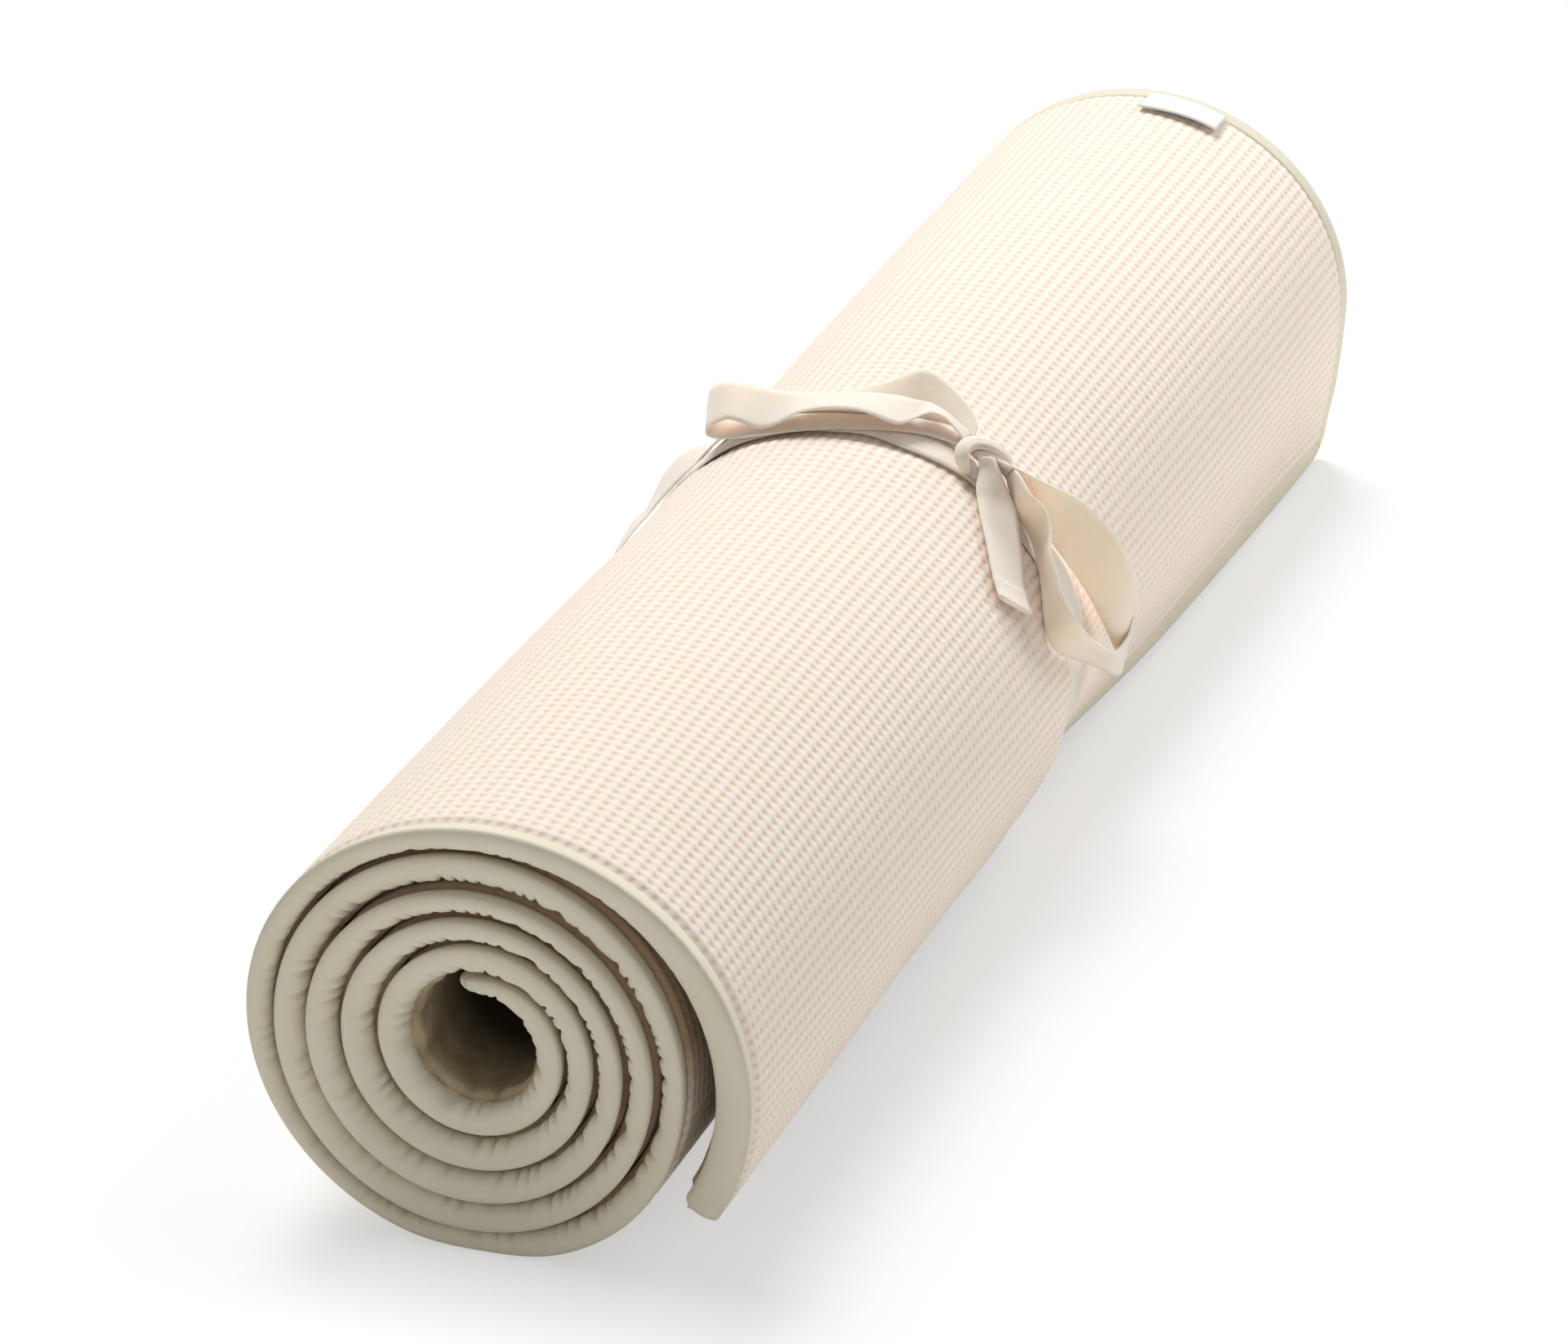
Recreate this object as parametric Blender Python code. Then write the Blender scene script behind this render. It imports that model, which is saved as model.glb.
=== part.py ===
# Rolled yoga mat tied with a twill tape.
# Metres, +Z up. The roll lies along Y on the ground, and its open spiral end is at -Y.
# The mat is a wound sandwich: a waffle cover, a soft core and a plain inner cover,
# with a folded binding tape round all four edges and a small label at the far edge.
# A flat tape goes once round the middle and ends in a knot, two loops and two tails.
import math

import bpy
import numpy as np

# Mat, unrolled
MAT_WIDTH = 0.610
COVER_THICKNESS = 0.0009
PLY_GAP = 0.0004
TURN_GAP = 0.0004

# Binding tape folded over the edges
BINDING_THICKNESS = 0.0009
BINDING_REACH = 0.0065
FOLD_GAP = 0.0006
BUTT_GAP = 0.0003

# Winding, counted from the free outer end, seen from the near end of the roll
STEPS_PER_TURN = 18
WHOLE_STEPS = 97
FIRST_STEP = math.radians(15)
OUTER_END_ANGLE = math.radians(-35)
PITCH_SIDEWAYS = 0.00945
PITCH_UPWARD = 0.00790
AXIS_ASIDE = -0.0017
EYE_RISE = 0.0070
GROUND_ANGLE = math.radians(270)
GROUND_SINK = 0.0018

# Outer half width and half height of the roll at its two ends
NEAR_HALF_WIDTH = 0.0755
NEAR_HALF_HEIGHT = 0.0706
FAR_HALF_WIDTH = 0.0717
FAR_HALF_HEIGHT = 0.0682

# Waist, where the tape draws the roll in
TIE_PLACE = 0.305
BULGE_REACH = 0.143
WAIST_SHARES = (0, 0.16, 1, 0.16, 0)
WAIST_SIDEWAYS = 0.0020
WAIST_UPWARD = 0.0032

# Free outer end: loose at the near end, let down to the ground at the far end
LOOSE_GAP = 0.0050
LOOSE_SHARES = (1, 0.84, 0.16, 0, 0)
LOOSE_ANGLE = math.radians(140)
FLAP_OUTWARD = 0.0190
FLAP_DOWNWARD = 0.0100
FLAP_SHARES = (1, 0.80, 0.22, 0)
FLAP_OUT_SHARES = (0, 0, 0, 0.5, 1)
FLAP_DOWN_SHARES = (0, 0, 0, 0.9, 1)
FLAP_SLIP = math.radians(14)
SLIP_SHARES = (0, 0.5, 1, 1, 1)

# Twill tape
TAPE_WIDTH = 0.0165
TAPE_THICKNESS = 0.0008
TAPE_GAP = 0.0003
POINTS_PER_SPAN = 2

# Knot
KNOT_ANGLE = math.radians(56)
KNOT_LENGTH = 0.0170
KNOT_WIDTH = 0.0150
KNOT_HEIGHT = 0.0100
KNOT_CLEARANCE = 0.0013
KNOT_SEGMENTS = 16
KNOT_RINGS = 10

# Reach of the loops and tails round the roll, and aside along it
LEFT_LOOP_REACH = 0.101
RIGHT_LOOP_REACH = 0.072
SHORT_TAIL_REACH = 0.040
SHORT_TAIL_ASIDE = 0.034
LONG_TAIL_REACH = 0.104
LONG_TAIL_ASIDE = 0.041

# Routes as shares: reach, aside, height in tape widths, lean in right angles, width of the tape
LEFT_LOOP_SHARES = (
    (-0.092, -0.15, 0.34, 0, 0.50),
    (-0.130, -0.10, 0.24, 0, 0.70),
    (-0.200, -0.03, 0.18, 0, 0.95),
    (-0.320, 0.00, 0.17, 0, 1.00),
    (-0.500, 0.00, 0.17, 0, 1.00),
    (-0.700, 0.05, 0.17, 0, 1.00),
    (-0.850, 0.12, 0.19, 0, 1.00),
    (-0.955, 0.18, 0.32, 0, 1.00),
    (-1.000, 0.20, 0.60, 0, 1.00),
    (-0.960, 0.20, 0.90, 0, 1.00),
    (-0.860, 0.15, 1.00, 0, 1.00),
    (-0.700, 0.10, 0.80, 0, 1.00),
    (-0.520, -0.10, 0.66, 0, 1.00),
    (-0.380, 0.00, 0.68, 0, 1.00),
    (-0.250, -0.12, 0.56, 0, 1.00),
    (-0.150, -0.05, 0.58, 0, 0.80),
    (-0.092, -0.15, 0.51, 0, 0.50),
)
RIGHT_LOOP_SHARES = (
    (0.120, 0.18, 0.40, 1, 0.50),
    (0.190, 0.28, 0.50, 1, 0.70),
    (0.280, 0.20, 0.63, 1, 0.95),
    (0.375, 0.00, 0.66, 1, 1.00),
    (0.540, -0.60, 0.66, 1, 1.00),
    (0.690, -1.15, 0.66, 1, 1.00),
    (0.810, -1.40, 0.66, 1, 1.00),
    (0.920, -1.05, 0.66, 1, 1.00),
    (0.985, -0.25, 0.66, 1, 1.00),
    (0.970, 0.50, 0.66, 1, 1.00),
    (0.900, 1.00, 0.66, 1, 1.00),
    (0.780, 1.20, 0.66, 1, 1.00),
    (0.610, 1.05, 0.66, 1, 1.00),
    (0.390, 0.75, 0.66, 1, 1.00),
    (0.240, 0.52, 0.60, 1, 0.90),
    (0.150, 0.42, 0.50, 1, 0.70),
    (0.095, 0.36, 0.40, 1, 0.50),
)
SHORT_TAIL_SHARES = (
    (0.185, -0.135, 0.30, 0, 0.50),
    (0.280, -0.250, 0.21, 0, 0.75),
    (0.400, -0.400, 0.18, 0, 0.95),
    (0.550, -0.550, 0.13, 0, 1.00),
    (0.750, -0.760, 0.10, 0, 1.00),
    (0.900, -0.920, 0.11, 0, 1.00),
    (1.000, -1.030, 0.14, 0, 1.00),
)
LONG_TAIL_SHARES = (
    (-0.048, 0.18, 0.30, 0.00, 0.50),
    (-0.090, 0.30, 0.19, 0.00, 0.75),
    (-0.150, 0.46, 0.14, 0.00, 1.00),
    (-0.220, 0.64, 0.16, 0.05, 1.00),
    (-0.285, 0.76, 0.34, 0.35, 1.00),
    (-0.360, 0.74, 0.34, 0.30, 1.00),
    (-0.450, 0.62, 0.18, 0.10, 1.00),
    (-0.560, 0.52, 0.13, 0.00, 1.00),
    (-0.750, 0.49, 0.12, 0.00, 1.00),
    (-0.900, 0.49, 0.12, 0.00, 1.00),
    (-1.000, 0.49, 0.12, 0.00, 1.00),
)
HANGING_TAIL_SHARES = (
    (-1.010, 0.49, 0.130, 0, 1.00),
    (-1.060, 0.49, 0.20, 0, 1.00),
    (-1.140, 0.42, 0.36, 0, 1.00),
    (-1.240, 0.33, 0.52, 0, 1.00),
    (-1.340, 0.24, 0.64, 0, 1.00),
    (-1.440, 0.15, 0.74, 0, 1.00),
    (-1.520, 0.10, 0.90, 0, 1.00),
)

# Woven label, folded and caught in the far seam
LABEL_ANGLE = math.radians(76.5)
LABEL_LENGTH = 0.0270
LABEL_DEPTH = 0.0120
LABEL_THICKNESS = 0.0004
LABEL_SLIT = 0.0003
LABEL_CLEARANCE = 0.0008
LABEL_LIFT = 0.0026

# Cloths
WAFFLE_COLOUR = (0.93, 0.84, 0.70)
CORE_COLOUR = (0.80, 0.74, 0.62)
LINING_COLOUR = (0.82, 0.78, 0.66)
BINDING_COLOUR = (0.86, 0.85, 0.74)
TAPE_COLOUR = (0.86, 0.76, 0.64)
LABEL_COLOUR = (0.90, 0.90, 0.86)
CLOTH_ROUGHNESS = 0.9
BINDING_ROUGHNESS = 0.8
LABEL_ROUGHNESS = 0.7
CREASE_ANGLE = math.radians(40)

FULL_TURN = 2 * math.pi
STEP = FULL_TURN / STEPS_PER_TURN
WOUND_ANGLE = FIRST_STEP + WHOLE_STEPS * STEP
END_RADIUS = (NEAR_HALF_WIDTH + NEAR_HALF_HEIGHT) / 2
EYE_RADIUS = END_RADIUS - (PITCH_SIDEWAYS + PITCH_UPWARD) / 2 * WOUND_ANGLE / FULL_TURN
EDGE = BINDING_REACH + BUTT_GAP
INSET = BINDING_THICKNESS + FOLD_GAP


# Shape of the roll

def ease(value):
    """A smooth step from 0 to 1."""
    share = np.clip(value, 0, 1)
    return share * share * (3 - 2 * share)


def at_station(along, shares):
    """A value along the roll, from its shares at the five stations."""
    return np.interp(along, stations(0), shares)


def half_sizes(along):
    """Half width, half height and height of the middle of the outermost turn."""
    share = along / MAT_WIDTH
    waist = at_station(along, WAIST_SHARES)
    half_width = NEAR_HALF_WIDTH + (FAR_HALF_WIDTH - NEAR_HALF_WIDTH) * share
    half_height = NEAR_HALF_HEIGHT + (FAR_HALF_HEIGHT - NEAR_HALF_HEIGHT) * share
    turns_to_ground = (GROUND_ANGLE - OUTER_END_ANGLE) / FULL_TURN
    middle = half_height - PITCH_UPWARD * turns_to_ground - GROUND_SINK
    return half_width - WAIST_SIDEWAYS * waist, half_height - WAIST_UPWARD * waist, middle


def wound_point(turned, along, slip, flare, flare_down):
    """A point of the spiral, turned round from the outer end, slipped back and flared outward."""
    half_width, half_height, middle = half_sizes(along)
    turns = turned / FULL_TURN
    angle = OUTER_END_ANGLE + turned + slip
    facet = (1 + 1 / math.cos(STEP / 2)) / 2
    a = (half_width - PITCH_SIDEWAYS * turns) * facet + flare
    b = (half_height - PITCH_UPWARD * turns) * facet + flare_down
    x = AXIS_ASIDE + a * np.cos(angle)
    z = middle + EYE_RISE * turned / WOUND_ANGLE + b * np.sin(angle)
    return np.stack([x, along - MAT_WIDTH / 2 + 0 * x, z], axis=-1)


def mat_point(turned, along, depth, from_inside=False):
    """A point in the mat: depth below its outer face, or above its inner face."""
    turned, along = np.broadcast_arrays(np.asarray(turned, float), np.asarray(along, float))
    edge_angle = EDGE / END_RADIUS
    slip_share = np.clip((FIRST_STEP - turned) / (FIRST_STEP - edge_angle), 0, 1)
    slip = -FLAP_SLIP * at_station(along, SLIP_SHARES) * slip_share
    loose = LOOSE_GAP * at_station(along, LOOSE_SHARES) * (1 - ease(turned / LOOSE_ANGLE))
    bends = (0, edge_angle, FIRST_STEP, FIRST_STEP + STEP)
    flap = np.interp(turned, bends, FLAP_SHARES)
    out = loose + flap * FLAP_OUTWARD * at_station(along, FLAP_OUT_SHARES)
    down = loose + flap * FLAP_DOWNWARD * at_station(along, FLAP_DOWN_SHARES)
    outer = wound_point(turned, along, slip, out, down)
    through = wound_point(turned + FULL_TURN, along, slip, 0, 0) - wound_point(turned, along, slip, 0, 0)
    spacing = np.linalg.norm(through, axis=-1, keepdims=True)
    inward = through / spacing
    if from_inside:
        return outer + inward * (spacing - TURN_GAP - depth)
    outer[..., 2] = np.maximum(outer[..., 2], 0)
    return outer + inward * depth


def turn_angles(first, last):
    """Angles from the outer end: both limits, the edges of the binding and every whole step."""
    steps = FIRST_STEP + np.arange(WHOLE_STEPS) * STEP
    breaks = np.array([EDGE / END_RADIUS, WOUND_ANGLE - EDGE / EYE_RADIUS])
    inside = np.sort(np.concatenate([steps, breaks]))
    clear = PLY_GAP / END_RADIUS
    inside = inside[(inside > first + clear) & (inside < last - clear)]
    return np.concatenate([[first], inside, [last]])


def stations(inset):
    """Places along the roll: both sides of the mat, the tape, and where the waist has faded."""
    places = [inset, TIE_PLACE - BULGE_REACH, TIE_PLACE, TIE_PLACE + BULGE_REACH, MAT_WIDTH - inset]
    return np.array(places)


# Mesh helpers

def make_object(name, vertices, faces, origin, material, parent):
    """One named mesh object whose origin is at the given point of the roll's frame."""
    mesh = bpy.data.meshes.new(name)
    origin = np.asarray(origin, float)
    mesh.from_pydata((np.asarray(vertices) - origin).tolist(), [], faces)
    mesh.validate()
    mesh.materials.append(material)
    part = bpy.data.objects.new(name, mesh)
    part.location = origin.tolist()
    part.parent = parent
    parent.users_collection[0].objects.link(part)
    mesh.shade_smooth()
    mesh.set_sharp_from_angle(angle=CREASE_ANGLE)
    return part


def loop_faces(count, around, closed):
    """Faces between rings of points, with strips across both ends unless the run is closed.

    The two halves of a ring run opposite ways, and their triangles slant alike, so that
    layers that lie on each other keep their gap where they twist.
    """
    faces = []
    for ring in range(count if closed else count - 1):
        for k in range(around):
            after = (k + 1) % around
            next_ring = (ring + 1) % count
            here, here_after = ring * around + k, ring * around + after
            there, there_after = next_ring * around + k, next_ring * around + after
            if k < around // 2:
                faces.append((here, here_after, there_after))
                faces.append((here, there_after, there))
            else:
                faces.append((here, here_after, there))
                faces.append((here_after, there_after, there))
    if not closed:
        last = (count - 1) * around
        for k in range(around // 2 - 1):
            for cap in ((k, k + 1, around - 2 - k), (k, around - 2 - k, around - 1 - k)):
                faces.append(tuple(reversed(cap)))
                faces.append(tuple(last + corner for corner in cap))
    return faces


def sweep(name, rings, closed, origin, material, parent):
    """A solid through rings of points that are all the same closed section."""
    count, around = rings.shape[:2]
    faces = loop_faces(count, around, closed)
    return make_object(name, rings.reshape(-1, 3), faces, origin, material, parent)


def layer(name, upper, lower, material, parent):
    """A solid between two grids of points, as a sweep of one row of the mat after another."""
    rings = np.concatenate([upper, lower[:, ::-1]], axis=1)
    return sweep(name, rings, False, (0, 0, 0), material, parent)


def fabric(name, colour, roughness):
    material = bpy.data.materials.new(name)
    material.use_nodes = True
    shader = material.node_tree.nodes["Principled BSDF"]
    shader.inputs["Base Color"].default_value = (*colour, 1)
    shader.inputs["Roughness"].default_value = roughness
    shader.inputs["Metallic"].default_value = 0
    return material


# Layers of the mat

def cover(name, from_inside, colour, parent):
    """A fabric face, from binding to binding, on one side of the core."""
    angles = turn_angles(EDGE / END_RADIUS, WOUND_ANGLE - EDGE / EYE_RADIUS)
    turned, along = np.meshgrid(angles, stations(EDGE), indexing="ij")
    shown = mat_point(turned, along, 0.0, from_inside)
    backing = mat_point(turned, along, COVER_THICKNESS, from_inside)
    upper, lower = (backing, shown) if from_inside else (shown, backing)
    return layer(name, upper, lower, fabric(name, colour, CLOTH_ROUGHNESS), parent)


def core(parent):
    """The soft core between the two covers, inside the fold of the binding."""
    angles = turn_angles(INSET / END_RADIUS, WOUND_ANGLE - INSET / EYE_RADIUS)
    places = np.sort(np.concatenate([stations(EDGE), [INSET, MAT_WIDTH - INSET]]))
    turned, along = np.meshgrid(angles, places, indexing="ij")
    depth = COVER_THICKNESS + PLY_GAP
    upper = mat_point(turned, along, depth)
    lower = mat_point(turned, along, depth, True)
    return layer("core_pad", upper, lower, fabric("core_pad", CORE_COLOUR, CLOTH_ROUGHNESS), parent)


def folded_section():
    """The binding's fold: distance in from the edge, depth, and whether from the inner face."""
    return (
        (BINDING_REACH, 0.0, False),
        (0.0, 0.0, False),
        (0.0, 0.0, True),
        (BINDING_REACH, 0.0, True),
        (BINDING_REACH, BINDING_THICKNESS, True),
        (BINDING_THICKNESS, BINDING_THICKNESS, True),
        (BINDING_THICKNESS, BINDING_THICKNESS, False),
        (BINDING_REACH, BINDING_THICKNESS, False),
    )


def side_binding(name, at_far_side, parent):
    """The binding along one long side, wound with the mat."""
    angles = turn_angles(0.0, WOUND_ANGLE)
    columns = []
    for inset, depth, from_inside in folded_section():
        along = MAT_WIDTH - inset if at_far_side else inset
        columns.append(mat_point(angles, along, depth, from_inside))
    if not at_far_side:
        columns.reverse()
    return sweep(name, np.stack(columns, axis=1), False, (0, 0, 0), binding_cloth(name), parent)


def end_binding(name, at_eye, parent):
    """The binding along one short side, between the two long ones."""
    columns = []
    for inset, depth, from_inside in folded_section():
        turned = WOUND_ANGLE - inset / EYE_RADIUS if at_eye else inset / END_RADIUS
        columns.append(mat_point(turned, stations(EDGE), depth, from_inside))
    if at_eye:
        columns.reverse()
    return sweep(name, np.stack(columns, axis=1), False, (0, 0, 0), binding_cloth(name), parent)


def binding_cloth(name):
    return fabric(name, BINDING_COLOUR, BINDING_ROUGHNESS)


# Tape and bow

def roll_point(angle, aside, height):
    """A point over the roll near the tie, and the direction away from the roll there."""
    angle, aside, height = np.broadcast_arrays(*(np.asarray(v, float) for v in (angle, aside, height)))
    half_width, half_height, middle = half_sizes(TIE_PLACE + aside)
    turns = np.mod(angle - OUTER_END_ANGLE, FULL_TURN) / FULL_TURN
    a = half_width - PITCH_SIDEWAYS * turns
    b = half_height - PITCH_UPWARD * turns
    outward = np.stack([np.cos(angle) * b, 0 * a, np.sin(angle) * a], axis=-1)
    outward /= np.linalg.norm(outward, axis=-1, keepdims=True)
    rise = EYE_RISE * turns * FULL_TURN / WOUND_ANGLE
    x = AXIS_ASIDE + a * np.cos(angle)
    z = middle + rise + b * np.sin(angle)
    base = np.stack([x, TIE_PLACE - MAT_WIDTH / 2 + aside, z], axis=-1)
    return base + outward * height[..., None], outward


def beside_loop(points, distance):
    """A closed line in the plane across the roll, moved outward by one distance all along."""
    run = np.roll(points, -1, axis=0) - points
    run /= np.linalg.norm(run, axis=1, keepdims=True)
    normal = np.stack([run[:, 2], 0 * run[:, 0], -run[:, 0]], axis=1)
    miter = normal + np.roll(normal, 1, axis=0)
    miter /= (miter * np.roll(normal, 1, axis=0)).sum(1, keepdims=True)
    return points + miter * distance


def band(parent):
    """The tape once round the waist, drawn straight across the step at the mat's outer end."""
    turned = np.concatenate([[0, EDGE / END_RADIUS], FIRST_STEP + np.arange(STEPS_PER_TURN - 2) * STEP])
    seat = mat_point(turned, TIE_PLACE, 0.0)
    gap = TAPE_GAP + (WAIST_UPWARD + LOOSE_GAP) * TAPE_WIDTH / 2 / BULGE_REACH
    half = np.array([0, TAPE_WIDTH / 2, 0])
    inner = beside_loop(seat, gap)
    outer = beside_loop(seat, gap + TAPE_THICKNESS)
    rings = np.stack([outer - half, outer + half, inner + half, inner - half], axis=1)
    return sweep("tie_band", rings, True, (0, 0, 0), tape_cloth("tie_band"), parent)


def knot_centre():
    """Middle of the knot, and the direction away from the roll there."""
    return roll_point(KNOT_ANGLE, 0.0, KNOT_CLEARANCE + TAPE_THICKNESS + KNOT_HEIGHT / 2)


def knot(parent):
    """The overhand knot under the bow, a lump that is longest round the roll."""
    place, outward = knot_centre()
    bpy.ops.mesh.primitive_uv_sphere_add(segments=KNOT_SEGMENTS, ring_count=KNOT_RINGS, radius=1)
    part = bpy.context.object
    part.name = "tie_knot"
    part.data.name = "tie_knot"
    sizes = (KNOT_LENGTH, KNOT_WIDTH, KNOT_HEIGHT)
    for vertex in part.data.vertices:
        vertex.co = [value * size / 2 for value, size in zip(vertex.co, sizes)]
    part.data.materials.append(tape_cloth("tie_knot"))
    part.data.shade_smooth()
    part.rotation_euler = (0, math.atan2(outward[0], outward[2]), 0)
    part.location = place.tolist()
    for collection in list(part.users_collection):
        collection.objects.unlink(part)
    parent.users_collection[0].objects.link(part)
    part.parent = parent
    return part


def tape_cloth(name):
    return fabric(name, TAPE_COLOUR, CLOTH_ROUGHNESS)


def smooth_rows(rows):
    """A smooth curve through rows of values, each with the slope between its neighbours."""
    rows = np.asarray(rows, float)
    before = np.vstack([2 * rows[0] - rows[1], rows[:-1]])
    after = np.vstack([rows[1:], 2 * rows[-1] - rows[-2]])
    slope = (after - before) / 2
    share = (np.arange(POINTS_PER_SPAN) / POINTS_PER_SPAN)[None, :, None]
    start, end = rows[:-1, None], rows[1:, None]
    blend = ease(share)
    leaving = share * (1 - share) ** 2 * slope[:-1, None]
    arriving = share ** 2 * (1 - share) * slope[1:, None]
    points = start + (end - start) * blend + leaving - arriving
    return np.vstack([points.reshape(-1, rows.shape[1]), rows[-1:]])


def ribbon(name, shares, reach, spread, origin, parent):
    """A strip of tape over the roll, along a route given in shares."""
    curve = smooth_rows(shares)
    half_width, half_height, _ = half_sizes(TIE_PLACE)
    angles = KNOT_ANGLE - curve[:, 0] * reach / ((half_width + half_height) / 2)
    centres, outward = roll_point(angles, curve[:, 1] * spread, curve[:, 2] * TAPE_WIDTH)
    forward = np.gradient(centres, axis=0)
    forward /= np.linalg.norm(forward, axis=1, keepdims=True)
    lean = curve[:, 3:4] * math.pi / 2
    across = np.cos(lean) * np.array([0, 1, 0]) + np.sin(lean) * outward
    across -= (across * forward).sum(1, keepdims=True) * forward
    across /= np.linalg.norm(across, axis=1, keepdims=True)
    face = np.cross(across, forward)
    side = across * curve[:, 4:5] * TAPE_WIDTH / 2
    up = face * TAPE_THICKNESS / 2
    corners = [centres - side + up, centres + side + up, centres + side - up, centres - side - up]
    return sweep(name, np.stack(corners, axis=1), False, origin, tape_cloth(name), parent)


def bow(parent):
    """The two loops and the two tails, each turning about the knot or about the roll's shoulder."""
    centre, _ = knot_centre()
    ribbon("bow_loop_left", LEFT_LOOP_SHARES, LEFT_LOOP_REACH, TAPE_WIDTH, centre, parent)
    ribbon("bow_loop_right", RIGHT_LOOP_SHARES, RIGHT_LOOP_REACH, TAPE_WIDTH, centre, parent)
    ribbon("tie_tail_short", SHORT_TAIL_SHARES, SHORT_TAIL_REACH, SHORT_TAIL_ASIDE, centre, parent)
    ribbon("tie_tail_long", LONG_TAIL_SHARES, LONG_TAIL_REACH, LONG_TAIL_ASIDE, (0, 0, 0), parent)
    shoulder = shoulder_point()
    ribbon("tie_tail_long_end", HANGING_TAIL_SHARES, LONG_TAIL_REACH, LONG_TAIL_ASIDE, shoulder, parent)


def shoulder_point():
    """Where the long tail leaves the top of the roll and begins to hang."""
    half_width, half_height, _ = half_sizes(TIE_PLACE)
    reach, aside, height = LONG_TAIL_SHARES[-1][:3]
    angle = KNOT_ANGLE - reach * LONG_TAIL_REACH / ((half_width + half_height) / 2)
    return roll_point(angle, aside * LONG_TAIL_ASIDE, height * TAPE_WIDTH)[0]


# Label

def label(parent):
    """A folded woven label, its two cut edges in the far seam and its fold lifted off the mat."""
    seam = MAT_WIDTH - EDGE - BUTT_GAP
    root, outward = roll_point(LABEL_ANGLE, seam - TIE_PLACE, LABEL_CLEARANCE)
    tangent = np.cross(outward, np.array([0, 1, 0]))
    slit = LABEL_THICKNESS + LABEL_SLIT
    top = LABEL_THICKNESS + slit
    fold = LABEL_DEPTH - LABEL_THICKNESS
    section = ((0, 0), (LABEL_DEPTH, 0), (LABEL_DEPTH, top), (0, top))
    section += ((0, slit), (fold, slit), (fold, LABEL_THICKNESS), (0, LABEL_THICKNESS))
    rings = []
    for side in (-LABEL_LENGTH / 2, LABEL_LENGTH / 2):
        ring = []
        for depth, height in section:
            lift = height + LABEL_LIFT * depth / LABEL_DEPTH
            ring.append(root + tangent * side + outward * lift - np.array([0, depth, 0]))
        rings.append(ring)
    cloth = fabric("label", LABEL_COLOUR, LABEL_ROUGHNESS)
    return sweep("label", np.array(rings), False, root, cloth, parent)


# Assembly

def centre_on_ground(stand, parts):
    """Moves the whole roll sideways and along so that it stands over the origin."""
    corners = np.array([tuple(part.matrix_local @ v.co) for part in parts for v in part.data.vertices])
    middle = (corners.min(0) + corners.max(0)) / 2
    stand.location = (-middle[0], -middle[1], 0)


def build():
    for item in list(bpy.data.objects):
        bpy.data.objects.remove(item)
    collection = bpy.data.collections.new("rolled_yoga_mat")
    bpy.context.scene.collection.children.link(collection)
    stand = bpy.data.objects.new("roll_frame", None)
    collection.objects.link(stand)
    cover("outer_cover", False, WAFFLE_COLOUR, stand)
    core(stand)
    cover("inner_cover", True, LINING_COLOUR, stand)
    side_binding("binding_near_side", False, stand)
    side_binding("binding_far_side", True, stand)
    end_binding("binding_outer_end", False, stand)
    end_binding("binding_inner_end", True, stand)
    band(stand)
    knot(stand)
    bow(stand)
    label(stand)
    bpy.context.view_layer.update()
    centre_on_ground(stand, [part for part in collection.objects if part.type == "MESH"])


build()
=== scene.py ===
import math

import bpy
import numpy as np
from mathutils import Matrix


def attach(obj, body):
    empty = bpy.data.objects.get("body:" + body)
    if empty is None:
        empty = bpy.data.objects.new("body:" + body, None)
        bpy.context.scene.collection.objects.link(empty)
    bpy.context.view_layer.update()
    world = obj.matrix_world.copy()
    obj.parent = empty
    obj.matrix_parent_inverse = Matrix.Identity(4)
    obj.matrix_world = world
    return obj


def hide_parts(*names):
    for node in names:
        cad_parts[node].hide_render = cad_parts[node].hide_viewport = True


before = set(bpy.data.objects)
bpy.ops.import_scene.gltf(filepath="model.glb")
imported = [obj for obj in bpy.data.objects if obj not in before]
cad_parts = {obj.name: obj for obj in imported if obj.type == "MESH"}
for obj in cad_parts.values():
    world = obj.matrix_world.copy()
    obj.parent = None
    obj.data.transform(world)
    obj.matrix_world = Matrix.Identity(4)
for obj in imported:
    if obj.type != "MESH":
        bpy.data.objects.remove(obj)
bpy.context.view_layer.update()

# %% [markdown]
# # A rolled yoga mat tied with a twill tape
#
# The imported solids are loaded first, as a fixed frame: every piece made below stands for
# one of them and moves with its body.

# %% [markdown]
# ## Camera
#
# A long lens, nearly 180 mm, looks down at 25 degrees on the open end of the roll. Its
# matrix is a product read from right to left: back by the distance, rolled, tipped up from
# looking straight down, turned round the vertical and moved to the target.

# %% Camera
from mathutils import Matrix, Vector

VIEW_AZIMUTH, VIEW_ELEVATION, VIEW_ROLL = 0.351831, 0.436363, -0.011789
VIEW_TARGET, VIEW_DISTANCE = (-0.00305, -0.063881, 0.072058), 2.343570
VIEW_LENS, VIEW_SENSOR = 179.599, 36
VIEW_CLIP = (0.05, 50)


def added(name, data):
    """A new object with this data, linked to the scene."""
    thing = bpy.data.objects.new(name, data)
    bpy.context.scene.collection.objects.link(thing)
    return thing


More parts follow.
